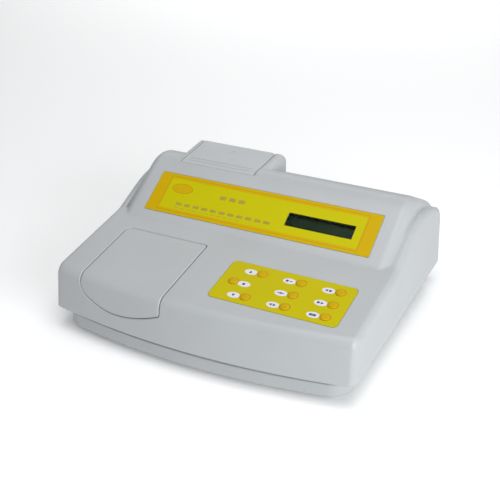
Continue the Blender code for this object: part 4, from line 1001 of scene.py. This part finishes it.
def marks(index, u, v, low, high):
    """Plain symbols on a tag: arrows in the left column, pairs of simple shapes elsewhere."""
    arrow_up = ((-1.9, -1.8), (1.9, -1.8), (0.0, 2.2))
    arrow_down = ((0.0, -2.2), (1.9, 1.8), (-1.9, 1.8))
    square = ((-1.5, -1.6), (1.5, -1.6), (1.5, 1.6), (-1.5, 1.6))
    dash = ((-1.7, -0.6), (1.7, -0.6), (1.7, 0.6), (-1.7, 0.6))
    tall = ((-0.5, -1.9), (0.5, -1.9), (0.5, 1.9), (-0.5, 1.9))
    left_arrow = ((-1.8, 0.0), (1.6, -2.0), (1.6, 2.0))
    right_arrow = ((-1.6, -2.0), (1.8, 0.0), (-1.6, 2.0))
    single = {0: (arrow_up,), 3: (square,), 6: (arrow_down,)}
    pairs = {1: (square, dash), 2: (left_arrow, square), 4: (dash, dash), 5: (square, right_arrow),
             7: (left_arrow, right_arrow), 8: (square, square)}
    shapes = single.get(index) or pairs[index]
    pitch = 4.4
    half = (len(shapes) - 1) * pitch / 2
    made = [polygon(shape, u - half + pitch * k, v, low, high) for k, shape in enumerate(shapes)]
    if index in (4, 8):
        made.append(polygon(tall, u, v, low, high))
    return made


def make_keypad():
    sheet = DECK.sheet("keypad_film", KEYPAD, KEYPAD_CORNER_R, OVERLAY_TOP - 0.6, OVERLAY_TOP, 0.15,
                       KEYPAD_FILM)
    hole = ((KEY_R + 0.3, -3.0), (KEY_R + 0.3, 3.0))
    carve(sheet, [DECK.rod("hole", x, v, hole, 48) for x, v in key_places()])
    shown(sheet, "housing", "print_film", "keypad_overlay")
    low, high = OVERLAY_TOP - 0.01, OVERLAY_TOP + PRINT
    tags, signs, rings = [], [], []
    for index, ((u, v), (x, y)) in enumerate(zip(tag_places(), key_places())):
        tags.append(oval(DECK, u, v, *TAG_HALF, low, high))
        signs += marks(index, u - 0.4, v, high - 0.01, high + PRINT)
        rings.append(flat_ring("ring", DECK, circle_at(x, y, KEY_R + 1.0, 48),
                               circle_at(x, y, KEY_R + 0.35, 48), low, high + 0.03, None))
    printed(merged("key_tags", tags, TAG))
    printed(merged("key_signs", signs, INK_BLUE))
    printed(merged("key_rings", rings, KEY_FILM), "key_film")


def make_keys():
    crown, brim = 1.4, 0.35
    dome = [(KEY_R * cos(pi / 2 * k / 10), brim + (crown - brim) * sin(pi / 2 * k / 10)) for k in range(10)]
    profile = [(3.1, -5.5), (3.1, 0.05), (KEY_R - 0.1, 0.05), (KEY_R, 0.15)] + dome + [(0.3, crown)]
    for number, (x, v) in enumerate(key_places(), 1):
        key = DECK.rod(f"key_dome_{number}", x, v, profile, 40, KEY_FILM)
        shown(key, f"key_{number}", "key_film", f"key_{number}")


# ---------------------------------------------------------------- sample compartment
WELL_X, WELL_D = -88.9, 66.0            # axis of the sample well
WELL_R = 13.7
VIAL_R = 12.5
BEAM_Z = 46.0                           # height of the light path


def make_block():
    """Black block with the well, a stepped finger dish and the ports of the light path."""
    (x0, x1), (d0, d1), (z0, z1) = extent("sample_block")
    outline = rounded_outline((x0, x1, d0, d1), 2.0)
    block = loft("well_block", [[(x, d, z) for x, d in outline] for z in (z0, z1 + 12.0)], ANODISED)
    top = DECK.block("top", (x0 - 20.0, x1 + 20.0, 0.0, 150.0), -6.5, 60.0)
    carve(block, [top])
    dish = [(0, 62.0), (24.6, 62.0), (25.8, 62.5), (26.4, 63.6), (26.5, 64.0), (26.5, 100.0), (0, 100.0)]
    carve(block, [turned("dish", "z", (WELL_X, WELL_D, 0.0), dish, 64)])
    bore = [(0, 24.0), (WELL_R, 24.0), (WELL_R, 61.2), (WELL_R + 0.8, 62.0), (WELL_R + 0.8, 70.0), (0, 70.0)]
    carve(block, [turned("bore", "z", (WELL_X, WELL_D, 0.0), bore, 64)])
    carve(block, [rod("light_port", "d", (WELL_X, WELL_D - 50.0, BEAM_Z), 4.0, 100.0, 32)])
    carve(block, [rod("scatter_port", "x", (WELL_X, WELL_D, BEAM_Z), 4.0, 50.0, 32)])
    shown(block, "housing", "black_anodised", "sample_block")


def make_gasket():
    """Soft foam ring under the lid, with a crowned lower face."""
    outer, inner, crown = 33.0, 27.6, 0.25
    low, high = -3.9, -2.9
    outer_shift, inner_shift = 1.4, 0.7         # up the deck from the well's axis
    profile = ((outer - 0.3, outer_shift, low), (outer, outer_shift, low + crown),
               (outer, outer_shift, high), (inner, inner_shift, high),
               (inner, inner_shift, low + crown), (inner + 0.3, inner_shift, low))
    points = [DECK.at(u, v, h) for radius, shift, h in profile
              for u, v in circle_at(WELL_X, WELL_D + shift, radius, 72)]
    ring = new_piece("lid_foam_ring", points, looped_faces(len(profile), 72), FOAM)
    shown(ring, "lid", "foam", "lid_gasket")


def make_vial():
    """Glass vial with a rounded heel, shoulder and lip."""
    bottom, shoulder, top = 24.4, 58.0, 70.0
    glass, neck = 1.2, 10.3
    heel_r = 1.6
    heel = [(VIAL_R - heel_r + heel_r * sin(pi / 2 * k / 5), bottom + heel_r - heel_r * cos(pi / 2 * k / 5))
            for k in range(6)]
    turn = [(VIAL_R - 0.9 * (1 - cos(pi / 2 * k / 4)), shoulder - 2.4 + 1.2 * sin(pi / 2 * k / 4))
            for k in range(5)]
    profile = [(0, bottom)] + heel + turn + [
        (neck, shoulder), (neck, top - 0.4), (neck - glass / 2, top), (neck - glass, top - 0.4),
        (neck - glass, shoulder - 0.4), (VIAL_R - glass, shoulder - 3.0), (VIAL_R - glass, bottom + 3.2),
        (VIAL_R - glass - 1.2, bottom + 2.0), (0, bottom + 2.0)]
    vial = turned("glass_vial", "z", (WELL_X, WELL_D, 0.0), profile, 64, GLASS)
    shown(vial, "vial", "clear_glass", "sample_vial")


def make_cap():
    """Black screw cap with a ring of grip ribs and a rounded top edge."""
    low, high, roof, inner = 58.8, 73.0, 70.4, 10.7
    ribs, per_rib, rib_depth = 36, 4, 0.35
    segments = ribs * per_rib
    profile = [(inner, low, False), (VIAL_R - 0.5, low, False), (VIAL_R - 0.1, low + 0.5, True)]
    profile += [(VIAL_R - inwards - 0.1, high - down, down > 0.6)
                for down, inwards in reversed(edge_round(1.2, 5))]
    profile.append((inner, roof, False))
    points = []
    for radius, z, ribbed in profile:
        for k in range(segments):
            reach = radius - (rib_depth if ribbed and k % per_rib in (0, 1) else 0.0)
            angle = 2 * pi * k / segments
            points.append((WELL_X + reach * cos(angle), WELL_D + reach * sin(angle), z))
    last = len(profile) - 1
    faces = []
    for row in [row for row in range(last + 1) if row != last - 1]:
        below, above = row * segments, (row + 1) % (last + 1) * segments
        for k in range(segments):
            j = (k + 1) % segments
            faces.append((below + k, below + j, above + j, above + k))
    faces.append(tuple(range((last - 1) * segments, last * segments)))
    faces.append(tuple(reversed(range(last * segments, (last + 1) * segments))))
    shown(new_piece("ribbed_cap", points, faces, BLACK), "cap", "black_plastic", "vial_cap")


# ---------------------------------------------------------------- rear panel
FLANGE_D = extent("power_inlet")[1][1] - 2.4
SWITCH_X, INLET_X, PORT_X = 48.0, 84.0, 128.0
SWITCH_Z, SOCKET_Z, PORT_Z = 56.0, 50.0, 56.0
STUDS = (-12.5, 12.5)


def upright(name, area, corner, levels, finish=None):
    """Solid with a rounded outline in x and z; levels are (depth d, how far the outline grows)."""
    rings = [[(x, d, z) for x, z in rounded_outline(grown(area, by), max(corner + by, 0.05))]
             for d, by in sorted(levels, reverse=True)]
    return loft(name, rings, finish)


def flange(name, area, corner, d0, d1, finish=None, edge=0.5):
    levels = [(d0, 0.0)] + [(d1 - depth, -inwards) for depth, inwards in edge_round(edge)]
    return upright(name, area, corner, levels, finish)


def make_rear_panel():
    (x0, x1), (d0, d1), (z0, z1) = extent("rear_panel")
    panel = upright("connector_plate", (x0, x1, z0, z1), 1.5, [(d0, 0.0), (d1, 0.0)], ALLOY)
    far = ((d0 - 5.0, 0.0), (d1 + 5.0, 0.0))
    holes = ((SWITCH_X - 9.8, SWITCH_X + 9.8, SWITCH_Z - 6.8, SWITCH_Z + 6.8),
             (INLET_X - 12.4, INLET_X + 12.4, 41.1, 71.9),
             (PORT_X - 9.6, PORT_X + 9.6, PORT_Z - 5.2, PORT_Z + 5.2))
    cuts = [upright("hole", area, 0.8, far) for area in holes]
    cuts += [rod("stud_hole", "d", (PORT_X + x, d0 - 5.0, PORT_Z), 1.8, 12.0, 24) for x in STUDS]
    carve(panel, cuts)
    shown(panel, "housing", "aluminium", "rear_panel")


def make_inlet():
    """Three-pin appliance inlet with chamfered upper corners, and a chamber for its fuse drawer."""
    (x0, x1), _, (z0, z1) = extent("power_inlet")
    inlet = flange("appliance_inlet", (x0, x1, z0, z1), 2.4, FLANGE_D, FLANGE_D + 2.4, BLACK, 0.7)
    body = upright("body", (INLET_X - 12.1, INLET_X + 12.1, z0 + 1.9, z1 - 1.9), 1.0,
                   ((FLANGE_D - 21.0, 0.0), (FLANGE_D + 1.0, 0.0)))
    carve(inlet, [body], "UNION")
    half, height, cant = 11.0, 7.8, 3.6
    outline = [(-half, -height), (half, -height), (half, height - cant), (half - cant, height),
               (cant - half, height), (-half, height - cant)]
    flare = ((FLANGE_D + 5.0, 1.06), (FLANGE_D + 2.0, 1.04), (FLANGE_D + 1.4, 1.0), (FLANGE_D - 14.0, 1.0))
    socket = loft("socket", [[(INLET_X + x * k, d, SOCKET_Z + z * k) for x, z in outline] for d, k in flare])
    _, _, (low, high) = extent("fuse_drawer")
    chamber = upright("chamber", (INLET_X - 10.6, INLET_X + 10.6, low - 0.3, high + 0.3), 0.5,
                      ((FLANGE_D - 18.0, 0.0), (FLANGE_D + 5.0, 0.0)))
    carve(inlet, [socket, chamber])
    shown(inlet, "housing", "black_plastic", "power_inlet")
    pins = []
    for x, z in ((-7.0, SOCKET_Z - 4.0), (0.0, SOCKET_Z + 0.6), (7.0, SOCKET_Z - 4.0)):
        area = (INLET_X + x - 1.0, INLET_X + x + 1.0, z, z + 4.0)
        levels = [(FLANGE_D - 14.2, 0.0), (FLANGE_D - 2.3, 0.0), (FLANGE_D - 1.5, -0.4)]
        pins.append(upright("pin", area, 0.5, levels))
    shown(merged("inlet_blades", pins, STEEL), "housing", "steel")


def make_drawer():
    (x0, x1), (d0, d1), (z0, z1) = extent("fuse_drawer")
    drawer = flange("fuse_holder", (x0, x1, z0, z1), 0.7, d0, d1, BLACK, 0.5)
    bay = box("bay", (INLET_X - 8.6, INLET_X + 8.6), (FLANGE_D - 14.0, FLANGE_D - 2.0), (z0 + 1.4, z1 + 4.0))
    notch = box("notch", (INLET_X - 4.0, INLET_X + 4.0), (FLANGE_D + 1.4, FLANGE_D + 4.0),
                (z1 - 1.8, z1 + 1.0))
    carve(drawer, [bay, notch])
    shown(drawer, "drawer", "black_plastic", "fuse_drawer")


def make_fuse():
    """Glass tube between two metal end caps."""
    (x0, x1), (d0, d1), (z0, z1) = extent("fuse")
    x, d, z = (x0 + x1) / 2, (d0 + d1) / 2, (z0 + z1) / 2
    radius, cap = (z1 - z0) / 2 - 0.05, 4.5
    half = (x1 - x0) / 2
    tube = rod("fuse_tube", "x", (x - half + 0.5, d, z), radius - 0.25, 2 * half - 1.0, 32, GLASS)
    shown(tube, "drawer", "clear_glass", "fuse")
    profile = [(0, 0), (radius - 0.4, 0), (radius, 0.4), (radius, cap - 0.2), (radius - 0.2, cap), (0, cap)]
    ends = [turned("end", "x", (x + start, d, z), profile, 32) for start in (-half, half - cap)]
    shown(merged("fuse_ends", ends, STEEL), "drawer", "steel")


def make_switch():
    (x0, x1), (d0, d1), (z0, z1) = extent("switch_frame")
    bezel = flange("switch_bezel", (x0, x1, z0, z1), 1.6, FLANGE_D, d1, BLACK, 0.6)
    body = upright("body", (SWITCH_X - 9.5, SWITCH_X + 9.5, SWITCH_Z - 6.5, SWITCH_Z + 6.5), 0.6,
                   ((d0, 0.0), (FLANGE_D + 1.0, 0.0)))
    carve(bezel, [body], "UNION")
    bay = upright("bay", (SWITCH_X - 8.4, SWITCH_X + 8.4, SWITCH_Z - 5.0, SWITCH_Z + 5.0), 0.5,
                  ((FLANGE_D - 8.0, 0.0), (FLANGE_D + 5.0, 0.0)))
    carve(bezel, [bay])
    shown(bezel, "housing", "black_plastic", "switch_frame")


ROCKER_AT = (SWITCH_X, FLANGE_D - 1.2, SWITCH_Z)
ROCKER_REST = radians(9.0)
ROCKER_REACH = 7.2                      # half its width


def rocker_point(x, d, z):
    """Point of the tilted rocker, from its own axes to the housing's."""
    ox, od, oz = ROCKER_AT
    return (ox + x * cos(ROCKER_REST) - d * sin(ROCKER_REST),
            od + x * sin(ROCKER_REST) + d * cos(ROCKER_REST), oz + z)


def rocker_face(x):
    """How far the hollow face stands out at x."""
    return 3.0 + 1.1 * (x / ROCKER_REACH) ** 2


def make_rocker():
    """Rocker with a hollow face, rounded ends and the plain on and off marks moulded into it."""
    reach, half, soft = ROCKER_REACH, 4.6, 0.5
    face = [(reach * k / 12, rocker_face(reach * k / 12)) for k in range(-12, 13)]
    outline = [(-reach, 0.4), (-2.4, -4.4), (2.4, -4.4), (reach, 0.4)] + face[::-1]
    rings = []
    for z, inwards in ((-half, soft), (-half + soft * 0.3, soft * 0.3), (-half + soft, 0.0),
                       (half - soft, 0.0), (half - soft * 0.3, soft * 0.3), (half, soft)):
        shrink = 1 - inwards / reach
        rings.append([rocker_point(x * shrink, d * shrink, z) for x, d in outline])
    rocker = loft("rocker_cap", rings, BLACK)
    shown(rocker, "rocker", "black_plastic", "switch_rocker")
    mark_x, mark_r = 4.4, 1.5
    corners = [(sx * 0.28, sz * mark_r) for sx, sz in ((-1, -1), (1, -1), (1, 1), (-1, 1))]
    on_mark = [[rocker_point(a - mark_x, rocker_face(mark_x) + lift, b) for a, b in corners]
               for lift in (0.12, -0.2)]
    rim = ((mark_r, 0.14), (mark_r, -0.2), (mark_r - 0.5, -0.2), (mark_r - 0.5, 0.14))
    points = [rocker_point(mark_x + a, rocker_face(mark_x) + lift, b)
              for radius, lift in rim for a, b in circle(radius, 24)]
    off_mark = new_piece("off", points, looped_faces(len(rim), 24, True))
    shown(merged("rocker_marks", [loft("on", on_mark), off_mark], TAG), "rocker", "black_plastic")


def make_port():
    """Nine-way data port: a plated flange and nose round a black insert with its contacts."""
    area = (PORT_X - 15.4, PORT_X + 15.4, PORT_Z - 6.2, PORT_Z + 6.2)
    plate = flange("data_port", area, 1.4, FLANGE_D, FLANGE_D + 0.9, STEEL, 0.3)
    half, height, lean = 8.6, 4.1, 1.0

    def ring(grow, d):
        h, v = half + grow, height + grow
        return [(PORT_X + x, d, PORT_Z + z) for x, z in ((lean - h, -v), (h - lean, -v), (h, v), (-h, v))]

    nose = [ring(-0.15, FLANGE_D + 3.2), ring(0.0, FLANGE_D + 2.9), ring(0.0, FLANGE_D - 8.0)]
    carve(plate, [loft("nose", nose)], "UNION")
    carve(plate, [loft("mouth", [ring(-0.6, FLANGE_D + 5.0), ring(-0.6, FLANGE_D - 4.0)])])
    carve(plate, [rod("stud_hole", "d", (PORT_X + x, FLANGE_D - 2.0, PORT_Z), 1.7, 6.0, 24) for x in STUDS])
    shown(plate, "housing", "steel", "serial_port")
    insert = loft("port_insert", [ring(-1.2, FLANGE_D + 2.5), ring(-1.2, FLANGE_D - 3.8)], BLACK)
    rows = ((1.3, (-5.4, -2.7, 0.0, 2.7, 5.4)), (-1.3, (-4.05, -1.35, 1.35, 4.05)))
    contacts = [rod("contact", "d", (PORT_X + x, FLANGE_D + 0.5, PORT_Z + z), 0.55, 3.0, 16)
                for z, xs in rows for x in xs]
    carve(insert, contacts)
    shown(insert, "housing", "black_plastic")
    profile = [(0, -1.3), (1.35, -1.3), (1.35, 1.2), (2.2, 1.2), (2.5, 1.4), (2.5, 3.0), (2.2, 3.2),
               (1.1, 3.2), (1.1, 2.2), (0, 2.2)]
    for number, x in enumerate(STUDS, 1):
        stud = turned(f"jack_post_{number}", "d", (PORT_X + x, FLANGE_D, PORT_Z), profile, 6, STEEL)
        shown(stud, "housing", "steel", f"port_stud_{number}")


# ---------------------------------------------------------------- feet and screws
def make_feet():
    head = FLOOR_Z + 0.3
    tread = [(0, 0), (6.4, 0), (6.6, 0.35), (7.2, 0.35), (7.4, 0), (8.2, 0), (8.8, 0.3), (9.1, 1.0)]
    top = [(9.55, FOOT_HEIGHT - 0.9), (9.3, FOOT_HEIGHT - 0.3), (3.0, FOOT_HEIGHT - 0.3), (3.0, head),
           (3.9, head), (3.7, head + 0.8), (2.4, head + 3.0), (0, head + 3.0)]
    for number, (x, d) in enumerate(FEET, 1):
        foot = turned(f"rubber_foot_{number}", "z", (x, d, 0.0), tread + top, 48, RUBBER)
        shown(foot, "housing", "rubber", f"foot_{number}")


def make_screws():
    seat, turns, pitch = FOOT_HEIGHT + 4.0, 9, 1.6
    profile = [(0, seat), (2.9, seat), (3.4, seat + 0.4), (3.5, seat + 1.7), (1.6, seat + 1.7)]
    for k in range(turns):
        z = seat + 2.4 + pitch * k
        profile += [(1.35, z), (1.6, z + 0.4), (1.35, z + 0.8)]
    profile += [(1.1, 27.0), (0, 28.4)]
    for number, (x, d) in enumerate(SCREWS, 1):
        screw = turned(f"screw_{number}", "z", (x, d, 0.0), profile, 32, STEEL)
        for a, b in ((0.35, 2.2), (2.2, 0.35)):
            carve(screw, [box("slot", (x - a, x + a), (d - b, d + b), (seat - 1.0, seat + 0.9))])
        shown(screw, "housing", "steel", f"housing_screw_{number}")


# ---------------------------------------------------------------- camera, light and floor
CAMERA_AT = (0.41812, -0.86575, 0.58952)
CAMERA_AZIMUTH, CAMERA_ELEVATION = radians(25.9417), radians(28.2222)
LENS = 68.596


def make_camera():
    camera = placed("camera", bpy.data.cameras.new("camera"))
    camera.data.lens = LENS
    camera.data.sensor_width = 36.0
    camera.data.clip_start = 0.01
    camera.location = CAMERA_AT
    camera.rotation_euler = (pi / 2 - CAMERA_ELEVATION, 0.0, CAMERA_AZIMUTH)
    bpy.context.scene.camera = camera


def softbox(name, place, target, size, power, tint=(1.0, 1.0, 1.0)):
    """Rectangular area light aimed at a target."""
    light = bpy.data.lights.new(name, "AREA")
    light.shape = "RECTANGLE"
    light.size, light.size_y = size
    light.energy = power
    light.color = tint
    lamp = placed(name, light)
    lamp.location = place
    aim = placed(name + "_aim", None)
    aim.location = target
    bpy.context.view_layer.update()
    lamp.rotation_euler = (aim.location - lamp.location).to_track_quat("-Z", "Y").to_euler()
    bpy.data.objects.remove(aim)


def make_studio():
    world = bpy.data.worlds.new("studio")
    world.use_nodes = True
    backdrop = world.node_tree.nodes["Background"]
    backdrop.inputs["Color"].default_value = (0.96, 0.98, 1.0, 1.0)
    backdrop.inputs["Strength"].default_value = 0.295
    bpy.context.scene.world = world
    bpy.context.scene.view_settings.view_transform = "Standard"
    softbox("right_box", (1.45, -0.85, 0.66), (0.0, 0.0, 0.06), (1.2, 0.85), 23.5, (0.96, 0.985, 1.0))
    softbox("top_box", (0.2, -0.2, 1.7), (0.0, 0.0, 0.05), (1.4, 1.2), 16.8)
    softbox("back_box", (-0.7, 1.75, 1.1), (-0.7, 1.75, 0.0), (1.8, 0.9), 12.0)
    half = 4.0
    corners = [(-half, -half, 0), (half, -half, 0), (half, half, 0), (-half, half, 0)]
    floor = bpy.data.meshes.new("floor")
    floor.from_pydata(corners, [], [(0, 1, 2, 3)])
    made = placed("floor", floor)
    paper = material("floor_paper", (0.93, 0.93, 0.93), 0.9, mottle=0.004, patch=3.0, relief=0.00001)
    shader = paper.node_tree.nodes["Principled BSDF"]
    shader.inputs["Emission Color"].default_value = (1.0, 1.0, 1.0, 1.0)
    shader.inputs["Emission Strength"].default_value = 0.09
    floor.materials.append(paper)


# ---------------------------------------------------------------- assembly
def finish_carried_nodes():
    """Every CAD node that stays on show takes the finish of its material slot."""
    for part in frame["record"]["subparts"]:
        mesh = frame["nodes"][part["node"]].data
        mesh.materials.clear()
        mesh.materials.append(SLOT_FINISH[part["material_slot"]])


def main():
    make_camera()
    make_studio()
    finish_carried_nodes()
    for make in (make_housing, make_base, make_lid, make_cover, make_display, make_lcd, make_keypad,
                 make_keys, make_block, make_gasket, make_vial, make_cap, make_rear_panel, make_inlet,
                 make_drawer, make_fuse, make_switch, make_rocker, make_port, make_feet, make_screws):
        make()


main()
